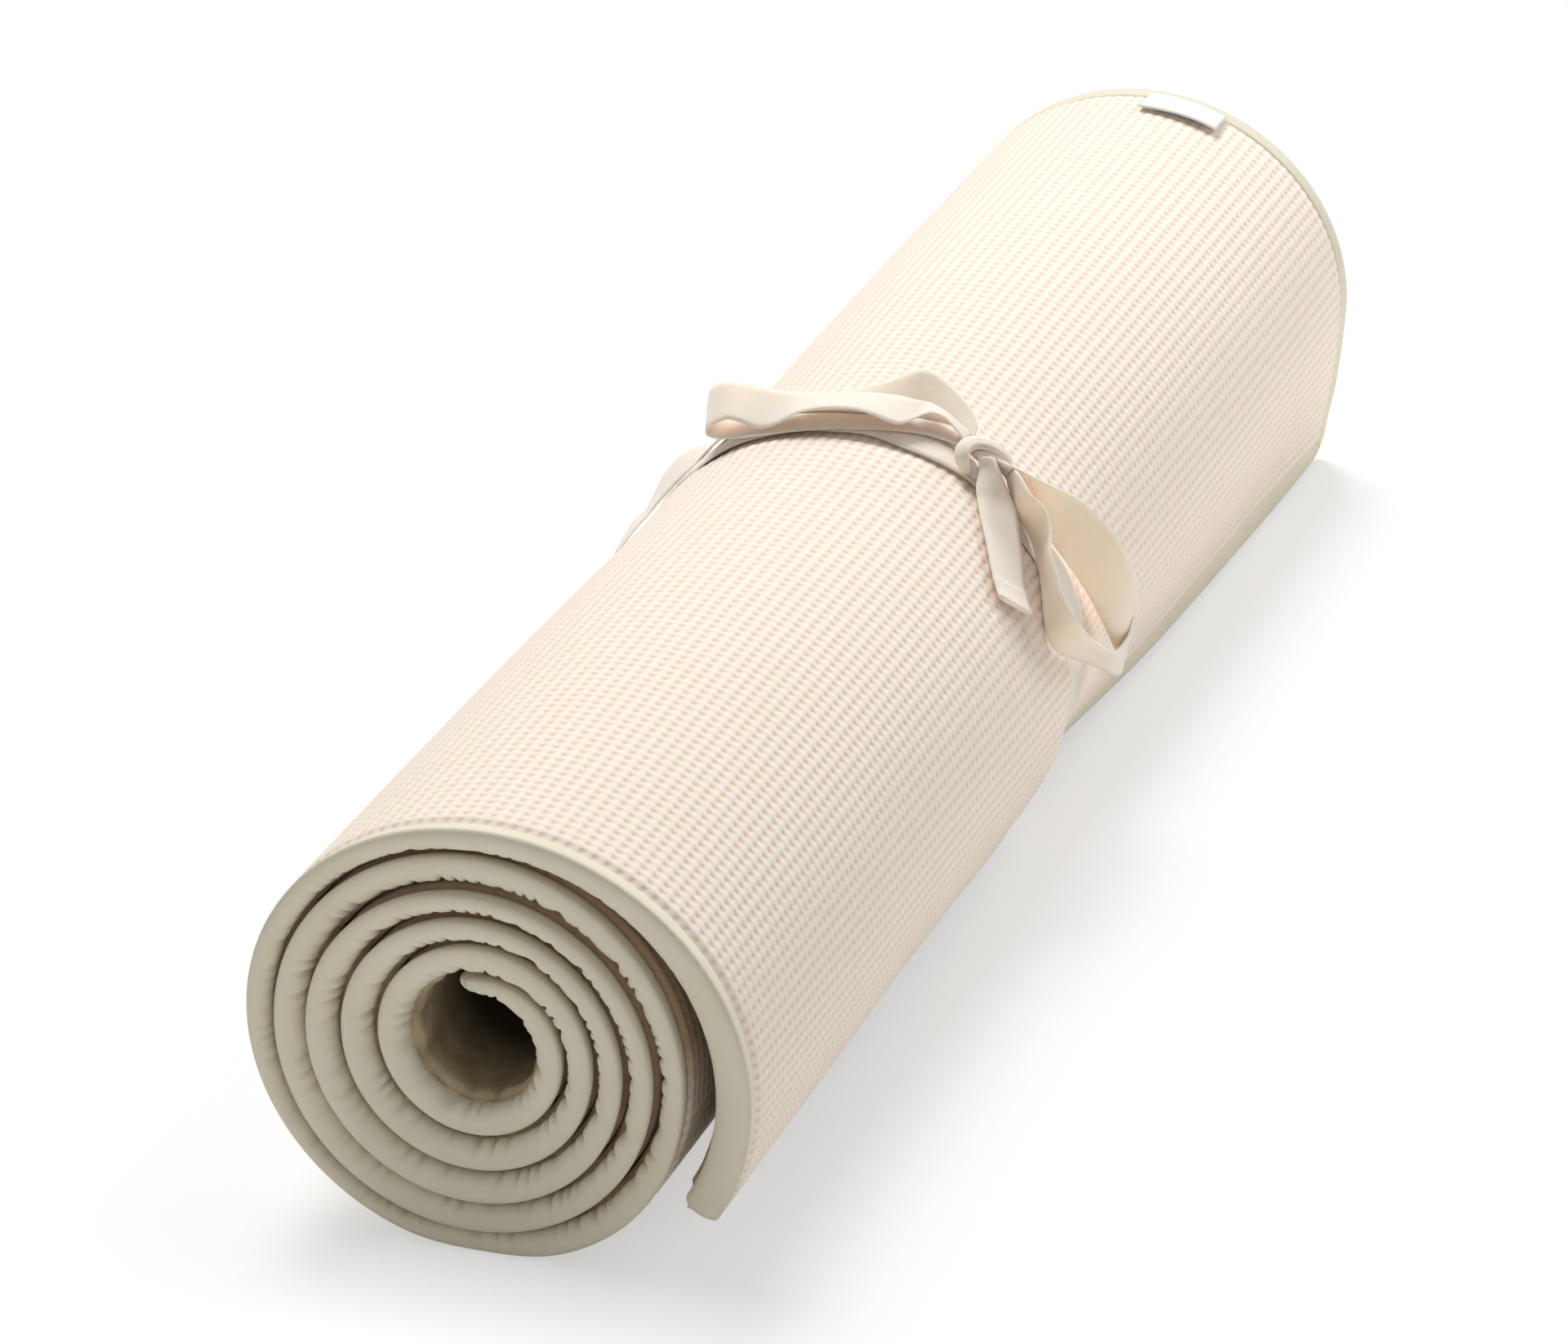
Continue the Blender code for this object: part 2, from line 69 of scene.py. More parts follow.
camera = added("camera", bpy.data.cameras.new("camera"))
camera.data.lens = VIEW_LENS
camera.data.sensor_width = VIEW_SENSOR
camera.data.sensor_fit = "HORIZONTAL"
camera.data.clip_start, camera.data.clip_end = VIEW_CLIP
view = Matrix.Translation(VIEW_TARGET) @ Matrix.Rotation(VIEW_AZIMUTH, 4, "Z")
view = view @ Matrix.Rotation(math.pi / 2 - VIEW_ELEVATION, 4, "X") @ Matrix.Rotation(VIEW_ROLL, 4, "Z")
camera.matrix_world = view @ Matrix.Translation((0, 0, VIEW_DISTANCE))
bpy.context.scene.camera = camera
print("camera at", [round(c, 3) for c in camera.matrix_world.translation])

# %% [markdown]
# ## The shape of the roll
#
# The mat is one sheet wound a little over five times. A point in it is named by three
# numbers: how far it is turned round from the free outer end, how far it lies along the
# roll, and how deep it lies in the sheet, from 0 at the outer face to 1 at the inner one.
# All the layers are made from this one function, so they nest by themselves.

# %% Measures of the mat
TURN = 2 * math.pi
MAT_WIDTH = 0.610  # the length of the roll
TIE = 0.305  # where the tape goes round it
END_ANGLE = math.radians(-35)  # where the free outer end lies
WOUND = math.radians(15 + 97 * 20)  # the whole angle wound, to the inner end
NEAR_HALF = np.array([0.0755, 0.0706])  # half width and half height at the open end
FAR_HALF = np.array([0.0717, 0.0682])  # the same at the far end
WAIST = np.array([0.0020, 0.0032])  # how much the tape draws them in
WAIST_SPREAD = 0.105
PITCH_SIDEWAYS, PITCH_UPWARD = 0.00945, 0.00790
SHIFT, AXIS_ASIDE = -0.00305, -0.0017
EYE_RISE, GROUND_SINK = 0.0070, 0.0018
THICK_WOUND, THICK_LOOSE = 0.0096, 0.0126
TURN_GAP = 0.0004  # the least room between two turns
print("turns:", round(WOUND / TURN, 2))


# %% Smooth curves through measured places
def ease(value):
    """A smooth step: 3 v^2 - 2 v^3 between 0 and 1, level outside."""
    v = np.clip(value, 0, 1)
    return v * v * (3 - 2 * v)


def cubic(t, start, end, leave, arrive):
    """From a start to an end over t from 0 to 1: a smooth step, bent by the slopes at both ends."""
    return start + (end - start) * ease(t) + t * (1 - t) ** 2 * leave - t ** 2 * (1 - t) * arrive


def through(value, places, amounts):
    """A curve through measured amounts: cubic between places, its slope there the harmonic mean."""
    x, y = np.asarray(places, float), np.asarray(amounts, float)
    step = np.diff(x)
    rise = np.diff(y) / step
    product, total = rise[:-1] * rise[1:], rise[:-1] + rise[1:]
    slope = np.zeros_like(y)
    slope[1:-1] = np.where(product > 0, 2 * product / np.where(product > 0, total, 1), 0)
    value = np.clip(value, x[0], x[-1])
    k = np.clip(np.searchsorted(x, value) - 1, 0, len(x) - 2)
    t = (value - x[k]) / step[k]
    return cubic(t, y[k], y[k + 1], step[k] * slope[k], step[k] * slope[k + 1])


# %% Looseness of the outer turn
SLACK, SLACK_ENDS = 0.0050, math.radians(140)
SWELL, SWELL_ENDS = 0.0052, math.radians(95)
TAPE_BULGE = 0.0011
FLAP_ANGLE, FLAP_DOWN = math.radians(36), 0.0125
TOE_ANGLE = math.radians(11)
FLAP_PLACES = (0, .305, .448, .540, .610)
FLAP_OUT = (0, .0013, .0054, .0095, .0190)
TOE_OUT = (0, .0020, .0081, .0100, .0030)


def looseness(turned, along):
    """How far the outer turn stands off, outward and downward: a sum of five fading effects.

    The turn is slack at the open end, swells on the near side of the tie, and bulges close
    beside the tape. Beyond the tie its last 36 degrees, the flap, spread outward and down to
    the ground, and the last 11 of them, the toe, a little further outward.
    """
    slack = SLACK * through(along, (0, .162, .305, .448, .610), (1, .84, .16, 0, 0))
    swell = SWELL * through(along, (.150, .215, .262, .285, .2925, .2965), (0, .45, 1, 1, .85, 0))
    bulge = TAPE_BULGE * through(np.abs(along - TIE), (0, .007, .0115, .022, .045), (0, .1, 1, .6, 0))
    loose = slack * (1 - ease(turned / SLACK_ENDS)) + swell * (1 - ease(turned / SWELL_ENDS))
    loose = loose + bulge * (turned < 2 * TURN)
    flap = np.clip(1 - turned / FLAP_ANGLE, 0, 1) ** 2.1
    toe = np.clip(1 - turned / TOE_ANGLE, 0, 1) ** 1.4
    outward = flap * through(along, FLAP_PLACES, FLAP_OUT) + toe * through(along, FLAP_PLACES, TOE_OUT)
    downward = FLAP_DOWN * flap * through(along, (0, .305, .448, .610), (0, .35, .9, 1))
    return loose + outward, loose + downward


# %% How the inner turns lie, in millimetres at so many turns in
CORE_TURNS = (0, 0.80, 1.10, 2, 3, 4, 5.0, 5.43)
CORE_ASIDE = (0, 0, -3.9, -3.4, -2.4, -1.4, -0.6, -0.3)
CORE_DOWN = (0, 0, -1.6, -3.5, -3.8, -4.1, -4.3, -4.4)
CORE_WIDTH = (0, 0, -2.4, -2.3, -2.4, -2.6, -3.0, -5.8)
CORE_HEIGHT = (0, 0, 0.3, -2.0, -2.8, -4.2, -5.6, -8.6)
CORE_FORWARD = (0, 0, -1.0, 1.0, 2.0, 1.5, 0.0, -1.0)


def core_shift(turns, amounts):
    """A correction of the inner turns in metres: a smooth curve through a table above."""
    return 0.001 * through(turns, CORE_TURNS, amounts)


# %% A point of the mat
GROUND_SOFT = 0.0011
SLIP, SLIP_ENDS = math.radians(14), math.radians(60)
LOOSE_UNTIL, LOOSE_FADE = math.radians(30), math.radians(110)


def on_ground(height):
    """A soft floor: k log(1 + exp(height / k)), which flattens what would sink into it."""
    return GROUND_SOFT * np.logaddexp(0, height / GROUND_SOFT)


def half_sizes(along):
    """Half width, half height and middle height of the outer turn, drawn in at the waist."""
    share = along / MAT_WIDTH
    waist = np.exp(-((along - TIE) / WAIST_SPREAD) ** 2)
    half = [near + (far - near) * share for near, far in zip(NEAR_HALF, FAR_HALF)]
    middle = half[1] - PITCH_UPWARD * (math.radians(270) - END_ANGLE) / TURN - GROUND_SINK
    return half[0] - WAIST[0] * waist, half[1] - WAIST[1] * waist, middle


def wound(turned, along, slip, out, down):
    """A point of the oval spiral: both half sizes shrink steadily as it winds in.

    The inner turns lie low and to the left in the loose outer one. Their edges aren't
    flush: the second turn lies a little in from the open end, and the next ones stand out.
    """
    a, b, middle = half_sizes(along)
    turns = turned / TURN
    angle = END_ANGLE + turned + slip
    a = a - PITCH_SIDEWAYS * turns + core_shift(turns, CORE_WIDTH) + out
    b = b - PITCH_UPWARD * turns + core_shift(turns, CORE_HEIGHT) + down
    x = SHIFT + AXIS_ASIDE + core_shift(turns, CORE_ASIDE) + a * np.cos(angle)
    z = middle + EYE_RISE * turned / WOUND + core_shift(turns, CORE_DOWN) + b * np.sin(angle)
    y = along - MAT_WIDTH / 2 - core_shift(turns, CORE_FORWARD)
    return np.stack([x, y + 0 * x, z], axis=-1)


def mat_point(turned, along, share, lift=0.0):
    """A point in the sheet: from the outer face a share of the way to the inner one, then lifted.

    The way leads straight towards the next turn in. The sheet fills it but for a small gap,
    up to a thickness that grows where the outer turn is free.
    """
    turned, along, share = np.broadcast_arrays(*(np.asarray(v, float) for v in (turned, along, share)))
    slip = -SLIP * through(along, (0, .162, .305), (0, .5, 1)) * np.clip(1 - turned / SLIP_ENDS, 0, 1)
    out, down = looseness(turned, along)
    outer = wound(turned, along, slip, out, down)
    way = wound(turned + TURN, along, slip, 0, 0) - wound(turned, along, slip, 0, 0)
    way[..., 1] = 0
    spacing = np.linalg.norm(way, axis=-1, keepdims=True)
    inward = way / spacing
    outer[..., 2] = on_ground(outer[..., 2])
    freed = 1 - ease((turned[..., None] - LOOSE_UNTIL) / LOOSE_FADE)
    thick = np.minimum(spacing - TURN_GAP, THICK_WOUND + (THICK_LOOSE - THICK_WOUND) * freed)
    return outer + inward * (thick * share[..., None] - np.asarray(lift)[..., None])


# %% Distance along the sheet
def distances(line):
    """The distance along a line at each of its points: the running sum of the steps between them."""
    return np.append(0, np.cumsum(np.linalg.norm(np.diff(line, axis=0), axis=1)))


turn_table = np.linspace(0, WOUND, 6000)
arc_table = distances(mat_point(turn_table, TIE - 0.12, 0.5))
MAT_LENGTH = arc_table[-1]


def turned_at(arc):
    """The angle turned at a distance along the sheet from its outer end."""
    return np.interp(arc, arc_table, turn_table)


print("length of the sheet, m:", round(float(MAT_LENGTH), 3))

# %% [markdown]
# ## From rows of points to a piece
#
# Every piece is a row of closed sections, one after another. The faces between them, and
# the strips that close both ends, are index tables worked out with numpy. If the volume
# comes out negative, the faces point inward and are all turned round.

# %% Faces between sections
def loft_faces(count, around, closed):
    """Quads between neighbouring sections, and their places in a table that doesn't wrap round."""
    i, k = np.meshgrid(np.arange(count if closed else count - 1), np.arange(around), indexing="ij")
    corners = [(i, k), (i, k + 1), (i + 1, k + 1), (i + 1, k)]
    quads = np.stack([(a % count) * around + b % around for a, b in corners], -1).reshape(-1, 4)
    spots = np.stack([a * (around + 1) + b for a, b in corners], -1).reshape(-1, 4)
    if closed:
        return quads, spots
    k = np.arange(around // 2 - 1)
    strip = np.stack([k + 1, k, around - 1 - k, around - 2 - k], -1)
    last = strip[:, ::-1]
    quads = np.vstack([quads, strip, last + (count - 1) * around])
    spots = np.vstack([spots, strip, last + (count - 1) * (around + 1)])
    return quads, spots


def volume(points, quads):
    """Signed volume: a third of the sum of each triangle's corner dotted with its area vector."""
    a, b, c, d = (points[quads[:, n]] for n in range(4))
    return np.einsum("ij,ij->", a, np.cross(b, c) + np.cross(c, d)) / 6


def shell(rings, pattern, closed=False):
    """Points, outward quads and the quads' pattern of a shell through rows x points x 3 sections."""
    points = rings.reshape(-1, 3)
    quads, spots = loft_faces(*rings.shape[:2], closed)
    if volume(points, quads) < 0:
        quads, spots = quads[:, ::-1], spots[:, ::-1]
    table = np.concatenate([pattern, pattern[:, :1]], axis=1).reshape(-1, 2)
    return points, quads, table[spots]


# %% From shells to a piece
def join(name, shells):
    """One mesh object of closed shells: their points and faces, one after another, with a UV map."""
    points, quads, pattern = zip(*shells)
    firsts = np.cumsum([0] + [len(p) for p in points])
    quads = np.vstack([q + first for q, first in zip(quads, firsts)])
    points, pattern = np.vstack(points), np.vstack(pattern)
    mesh = bpy.data.meshes.new(name)
    mesh.vertices.add(len(points))
    mesh.vertices.foreach_set("co", points.astype(np.float32).ravel())
    mesh.loops.add(quads.size)
    mesh.loops.foreach_set("vertex_index", quads.astype(np.int32).ravel())
    mesh.polygons.add(len(quads))
    mesh.polygons.foreach_set("loop_start", np.arange(0, quads.size, 4, dtype=np.int32))
    mesh.update(calc_edges=True)
    layer = mesh.uv_layers.new(name="cloth")
    layer.uv.foreach_set("vector", pattern.astype(np.float32).ravel())
    mesh.validate()
    mesh.shade_smooth()
    print(f"{name}: {len(quads) * 2} triangles")
    return added(name, mesh)


def two_faced(upper, lower):
    """Sections of a thin layer: the upper row of points, then the lower row back again."""
    return np.concatenate([upper, lower[:, ::-1]], axis=1)


def above(points, height=0.0):
    """The same points, none of them lower than a height over the ground."""
    points[..., 2] = np.maximum(points[..., 2], height)
    return points


def wear(piece, body, node):
    """Puts a finished piece on its body, in place of its plain solid, which it hides."""
    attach(piece, body)
    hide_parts(node)
    return piece


# %% [markdown]
# ## Seams round the edge
#
# A folded tape binds all four edges. Its two legs press the cloth down, so the covers
# sink into a shallow valley there. The corners are rounded, and the tapes of two sides
# meet in a mitre on the diagonal.

# %% The edge of the mat
BINDING_REACH = 0.0065  # how far in from the edge the binding lies
CORNER, CORNER_REACH = 0.0090, 0.012  # radius of a corner, and how far it is felt
MITRE_GAP = 0.00008
COVER = 0.0009  # thickness of a cover
OUTER_PRESS, INNER_PRESS = 0.0013, 0.0022
PRESS_FROM, PRESS_SLOPE = 0.0058, 0.0032


def sink(inset, most):
    """How deep the cloth is pressed at a distance in from the edge: most under the seam."""
    return most * (1 - ease((inset - PRESS_FROM) / PRESS_SLOPE))


def near_corner(run, inset):
    """Place of a point on a rounded contour: its distance from the side edge and from the end edge.

    The contour at this inset turns the corner on an arc about the corner's centre. A run of
    0 is on the diagonal, and from the reach on, the run is the distance from the end edge.
    """
    start = np.where(inset < CORNER, inset + (CORNER - inset) * (1 - math.sqrt(0.5)), inset) + MITRE_GAP
    from_end = np.where(run < CORNER_REACH, start + (CORNER_REACH - start) * run / CORNER_REACH, run)
    radius = np.maximum(CORNER - inset, 0)
    inside = np.clip(radius ** 2 - np.clip(CORNER - from_end, 0, None) ** 2, 0, None)
    from_side = np.where(from_end < CORNER, CORNER - np.sqrt(inside), inset)
    return np.where(inset < CORNER, from_side, inset), from_end


# %% [markdown]
# ## Waffle cover
#
# The outer cloth is a waffle weave: rounded ribs run along the roll, 3.6 mm apart, and
# between them lies a hollow every 3.85 mm. The ribs are real, as wave-shaped rows of the
# grid, so they show on the outline too. The hollows are left to the material. Only the
# outermost turn needs fine steps; further in the cloth can't be seen.

# %% Rows and places of a layer
CLOTH_EDGE, FILLING_EDGE = 0.0055, 0.0030
COARSE_STEP = 0.0072
EDGE_STEPS = np.array([0, 0.0012, 0.0024, 0.0036, 0.0052])
TAPE_STEPS = np.array([0, 0.004, 0.007, 0.0084, 0.0096, 0.0108, 0.0122, 0.014, 0.018, 0.024, 0.032, 0.042])
EVEN_FROM, TAPE_CLEAR = 0.016, 0.047
outer_turn = float(np.interp(TURN + math.radians(25), turn_table, arc_table))


def layer_rows(edge, fine_until, fine_step, coarse_step):
    """Distances along the sheet between two insets: fine steps at first, coarse ones inside."""
    last = MAT_LENGTH - edge
    fine = np.arange(edge, fine_until, fine_step)
    coarse = np.arange(fine[-1] + coarse_step, last - coarse_step / 2, coarse_step)
    return np.concatenate([fine, coarse, [last]])


def across_places(edge, count):
    """Places along the roll: closer together at both edges and beside the tape."""
    ends = edge + EDGE_STEPS
    even = np.linspace(EVEN_FROM, MAT_WIDTH - EVEN_FROM, count)
    even = even[np.abs(even - TIE) > TAPE_CLEAR]
    return np.sort(np.concatenate([ends, MAT_WIDTH - ends, TIE + TAPE_STEPS, TIE - TAPE_STEPS[1:], even]))


def layer_grid(rows, places):
    """Over a layer: the distance along and across, the angle turned and how far in from the edge."""
    arc, along = np.meshgrid(rows, places, indexing="ij")
    inset = np.minimum(np.minimum(arc, MAT_LENGTH - arc), np.minimum(along, MAT_WIDTH - along))
    return arc, along, turned_at(arc), inset


def layer(name, upper, lower, u, v):
    """A piece between two faces, whose pattern is the same on both."""
    pattern = np.stack(np.broadcast_arrays(u, v), axis=-1)
    return join(name, [shell(two_faced(upper, lower), two_faced(pattern, pattern))])


# %% Waffle cover
RIB_PITCH, CELL_PITCH = 0.00363, 0.00385
RIB_HEIGHT = 0.00032
RIB_FROM, RIB_FADE = 0.006, 0.003


def rib(arc):
    """Height of the ribs: a rounded ridge at every pitch, with narrow valleys between."""
    return RIB_HEIGHT * (np.abs(np.cos(math.pi * arc / RIB_PITCH)) ** 0.7 - 0.5)


def waffle_cover():
    """The outer cloth: the sheet's outer face plus the ribs, less the press of the seam."""
    rows = layer_rows(CLOTH_EDGE, outer_turn, RIB_PITCH / 4, COARSE_STEP)
    arc, along, turned, inset = layer_grid(rows, across_places(CLOTH_EDGE, 30))
    depth = sink(inset, OUTER_PRESS)
    fade = (arc <= outer_turn) * ease((inset - RIB_FROM) / RIB_FADE)
    upper = above(mat_point(turned, along, 0.0, rib(arc) * fade - depth))
    lower = above(mat_point(turned, along, 0.0, -depth - COVER), 0.0006)
    return layer("waffle_cover", upper, lower, arc / RIB_PITCH, along / CELL_PITCH)


cover = wear(waffle_cover(), "mat", "outer_cover")

# %% [markdown]
# ## Filling and lining
#
# Between the two cloths lies a soft filling, which can't be seen but gives the sheet its
# thickness. The inner cloth is a plain weave. It shows in the bore, where it is a little
# crumpled because it is wound tight, so low waves are added to the innermost turn.

# %% Filling
CLEAR = 0.0003  # between the filling and either cover


def core_filling():
    """The filling: from just inside the outer cover to just inside the inner one."""
    rows = layer_rows(FILLING_EDGE, outer_turn, 0.0060, 0.0060)
    arc, along, turned, inset = layer_grid(rows, across_places(FILLING_EDGE, 20))
    upper = above(mat_point(turned, along, 0.0, -sink(inset, OUTER_PRESS) - COVER - CLEAR), 0.0012)
    lower = mat_point(turned, along, 1.0, sink(inset, INNER_PRESS) + COVER + CLEAR)
    return layer("core_filling", upper, lower, arc, along)


# %% Lining
WAVE_DEPTH, FOLD_DEPTH = 0.00016, 0.0011
FOLDS_REACH = 0.016


def crumple(arc, along):
    """Low waves of the wound lining: three crossing sines, stronger towards the eye and the edges."""
    waves = np.sin(arc * 610 + 2.2 * np.sin(along * 93)) + 0.7 * np.sin(arc * 355 + along * 240)
    waves = waves + 0.5 * np.sin(along * 410 + 1.7 * np.sin(arc * 130))
    eye = ease((arc - MAT_LENGTH + 0.24) / 0.12)
    mouth = np.exp(-np.minimum(along, MAT_WIDTH - along) / FOLDS_REACH)
    folds = np.sin(arc * 820 + 1.5 * np.sin(arc * 170) + along * 60)
    return WAVE_DEPTH * waves * (0.25 + 1.6 * eye) + FOLD_DEPTH * folds * mouth * (0.1 + eye)


def lining_cloth():
    """The inner cloth: the sheet's inner face, pressed in by the seam and crumpled."""
    rows = layer_rows(CLOTH_EDGE, 0.12, 0.0036, 0.0040)
    arc, along, turned, inset = layer_grid(rows, across_places(CLOTH_EDGE, 36))
    depth = sink(inset, INNER_PRESS)
    shown = mat_point(turned, along, 1.0, depth + crumple(arc, along))
    hidden = mat_point(turned, along, 1.0, depth + COVER)
    return layer("lining_cloth", hidden, shown, arc, along)


filling = wear(core_filling(), "mat", "core_pad")
lining = wear(lining_cloth(), "mat", "inner_cover")

# %% [markdown]
# ## Binding
#
# The binding is a tape folded round the edge, so its section is a U with a full round
# bottom. Where the mat is wound, the leg on the hollow side has more tape than room and
# puckers between the stitches: narrow creases every few millimetres, deep at the seam and
# gone at the crest of the fold.

# %% Section of the binding
BINDING_THICKNESS = 0.0009
LEG_LENGTH = 0.011  # from the crest round to the end of a leg
CREST_DEEP, CREST_LEAN = 0.0038, 0.0018
LEG = 0.30  # share of the half section that is leg
OUTER_LEG_OUT, INNER_LEG_IN = -0.00075, 0.0016
PUCKER_PITCH = 0.0052
PUCKER_DEPTH, FINE_PUCKER = 0.0019, 0.0002


def fold_section(points):
    """The U, from the end of the outer leg to the end of the inner one.

    The bend runs from -90 to 90 degrees. The crest lies nearer the outer face, where the
    tape is pulled tight, and the hollow side slopes back gently: 2 mm and 5.6 mm deep.
    """
    v = np.linspace(-1, 1, points)
    bend = np.clip(v / (1 - LEG), -1, 1) * math.pi / 2
    leg = np.clip(np.abs(v) - (1 - LEG), 0, None) / LEG
    inset = (CREST_DEEP + CREST_LEAN * np.sin(bend)) * (1 - np.cos(bend) ** 0.9)
    inset = inset + leg * (BINDING_REACH - inset)
    share = (0.5 + 0.5 * np.sin(bend)) ** 1.7
    lift = np.where(v < 0, OUTER_LEG_OUT * ease(leg * 1.15), INNER_LEG_IN * ease((v - 0.15) / 0.75))
    return v, bend, inset, share, lift


def pucker(run, v):
    """Creases across the hollow side: a narrow notch at every stitch or two, unevenly spaced."""
    place = run / PUCKER_PITCH + 0.55 * np.sin(run * 97) + 0.3 * np.sin(run * 331 + 1)
    notch = np.exp(-(((place % 1) - 0.5) / 0.16) ** 2)
    fine = np.exp(-(((place * 2.3 + 0.2) % 1 - 0.5) / 0.2) ** 2)
    uneven = 0.62 + 0.38 * np.sin(run * 211 + 2)
    weight = ease((v - 0.05) / 0.5) * (1 - 0.35 * ease((v - 0.6) / 0.4))
    return (PUCKER_DEPTH * notch * uneven + FINE_PUCKER * fine) * weight


# %% Binding
def binding(name, node, long_side, place):
    """The folded section carried along an edge, and round half of the corner at both ends.

    The place function turns a distance along this edge and one in from it into distances
    along and across the sheet. Along a short side the tape is hardly puckered.
    """
    length, step = (MAT_LENGTH, 0.00072) if long_side else (MAT_WIDTH, 0.0030)
    corner = np.linspace(0, CORNER_REACH, 12)
    even = np.arange(CORNER_REACH, length - CORNER_REACH, step)
    run = np.concatenate([corner[:-1], even, length - corner[::-1]])[:, None]

    def spot(inset):
        """Angle turned and place across, each half of the run measured from its own corner."""
        near_in, near_run = near_corner(run, inset)
        far_in, far_run = near_corner(length - run, inset)
        first = run < length / 2
        arc, along = place(np.where(first, near_run, length - far_run), np.where(first, near_in, far_in))
        return turned_at(arc), along

    v, bend, inset, share, lift = fold_section(19)
    crease = pucker(run, v) * (ease((run - 0.02) / 0.4) if long_side else 0.2)
    inset, lift = inset + crease, lift + 0.6 * crease
    shown = above(mat_point(*spot(inset), share, lift))
    inset, lift = inset + BINDING_THICKNESS * np.cos(bend), lift + BINDING_THICKNESS * np.sin(bend)
    hidden = above(mat_point(*spot(inset), share, lift), 0.0004)
    return wear(layer(name, shown, hidden, run, v * LEG_LENGTH), "mat", node)


bindings = [
    binding("near_edge_binding", "binding_near_side", True, lambda run, deep: (run, deep)),
    binding("far_edge_binding", "binding_far_side", True, lambda run, deep: (run, MAT_WIDTH - deep)),
    binding("outer_end_binding", "binding_outer_end", False, lambda run, deep: (deep, run)),
    binding("inner_end_binding", "binding_inner_end", False, lambda run, deep: (MAT_LENGTH - deep, run)),
]

# %% [markdown]
# ## Twill tape
#
# A flat cotton tape goes once round the waist and is tied in a bow. It is one kind of
# surface everywhere: two edges, given by their distance round the roll from the knot, their
# place along it and their height above it, with a slightly hollow strip between them and
# a thickness that thins at the selvages.

# %% Places round the waist
TAPE_WIDTH = 0.0165
TAPE_THICKNESS = 0.0008
KNOT_ANGLE = math.radians(56)
WAIST_RADIUS = sum(half_sizes(np.array(TIE))[:2]) / 2


def unit(vectors):
    """Each vector divided by its own length."""
    return vectors / np.maximum(np.linalg.norm(vectors, axis=-1, keepdims=True), 1e-12)


def roll_point(round_mm, aside_mm, height_mm):
    """A point over the roll: left of the knot by a distance, aside from the tie, and above the cloth."""
    angle = KNOT_ANGLE + np.asarray(round_mm, float) / 1000 / WAIST_RADIUS
    aside, height = np.asarray(aside_mm, float) / 1000, np.asarray(height_mm, float) / 1000
    half_width, half_height, middle = half_sizes(TIE + aside)
    turns = np.mod(angle - END_ANGLE, TURN) / TURN
    a, b = half_width - PITCH_SIDEWAYS * turns, half_height - PITCH_UPWARD * turns
    outward = unit(np.stack([np.cos(angle) * b, 0 * a, np.sin(angle) * a], axis=-1))
    x = SHIFT + AXIS_ASIDE + a * np.cos(angle)
    z = middle + EYE_RISE * turns * TURN / WOUND + b * np.sin(angle)
    base = np.stack([x, TIE - MAT_WIDTH / 2 + aside + 0 * x, z], axis=-1)
    return base + outward * height[..., None]


def smooth_rows(rows, fine):
    """A curve through rows of values: cubic spans with the slope between neighbours."""
    rows = np.asarray(rows, float)
    slope = np.vstack([rows[1] - rows[0], (rows[2:] - rows[:-2]) / 2, rows[-1] - rows[-2]])
    t = (np.arange(fine) / fine)[None, :, None]
    spans = cubic(t, rows[:-1, None], rows[1:, None], slope[:-1, None], slope[1:, None])
    return np.vstack([spans.reshape(-1, rows.shape[1]), rows[-1:]])


def normals_of(grid):
    """Unit normals of a grid of points: the cross product of its two directions."""
    return unit(np.cross(np.gradient(grid, axis=0), np.gradient(grid, axis=1)))


def tape_rings(near, far, hollow=0.0, thickness=TAPE_THICKNESS, closed=False, across=9):
    """Sections of tape between two edges: bowed by the hollow, thinner at the selvages.

    A closed tape's grid is lengthened by three rows at both ends while its normals are
    worked out, and its pattern has one more row, so that it doesn't jump where it closes.
    """
    share = np.linspace(0, 1, across)[None, :, None]
    grid = near[:, None] * (1 - share) + far[:, None] * share
    normal = normals_of(np.concatenate([grid[-3:], grid, grid[:3]]))[3:-3] if closed else normals_of(grid)
    grid = grid + normal * np.reshape(hollow, (-1, 1, 1)) * 4 * share * (1 - share)
    edge = 0.55 + 0.45 * np.sqrt(np.clip(1 - (2 * share - 1) ** 8, 0, 1))
    half = np.reshape(thickness, (-1, 1, 1)) / 2 * edge
    middle = (near + far) / 2
    run = distances(np.vstack([middle, middle[:1]]) if closed else middle)
    u, v = np.meshgrid(np.linspace(0, 1, across) * TAPE_WIDTH, run)
    pattern = np.stack([u, v], axis=-1)
    return two_faced(grid + normal * half, grid - normal * half), two_faced(pattern, pattern), run[-1]


def strand(name, body, node, near, far, hollow=0.0, fine=6, thickness=TAPE_THICKNESS):
    """A strip of tape along two edges measured in millimetres; its flat length and width are printed."""
    near, far = smooth_rows(near, fine), smooth_rows(far, fine)
    near, far = roll_point(*near.T), roll_point(*far.T)
    rings, pattern, length = tape_rings(near, far, hollow, thickness)
    width = np.linalg.norm(far - near, axis=1) * 1000
    print(f"{name}: {length * 1000:.0f} mm long, {width.min():.1f} to {width.max():.1f} mm wide")
    piece = wear(join(name, [shell(rings, pattern)]), body, node)
    return piece


# %% Band round the waist
BAND_LIFT, BAND_HOLLOW, BAND_FLOOR = 0.0014, -0.0002, 0.0006
ROLL_MIDDLE = 0.066  # height of the roll's middle over the ground
LOOP_BACK = 2.3  # angle where the left loop turns back


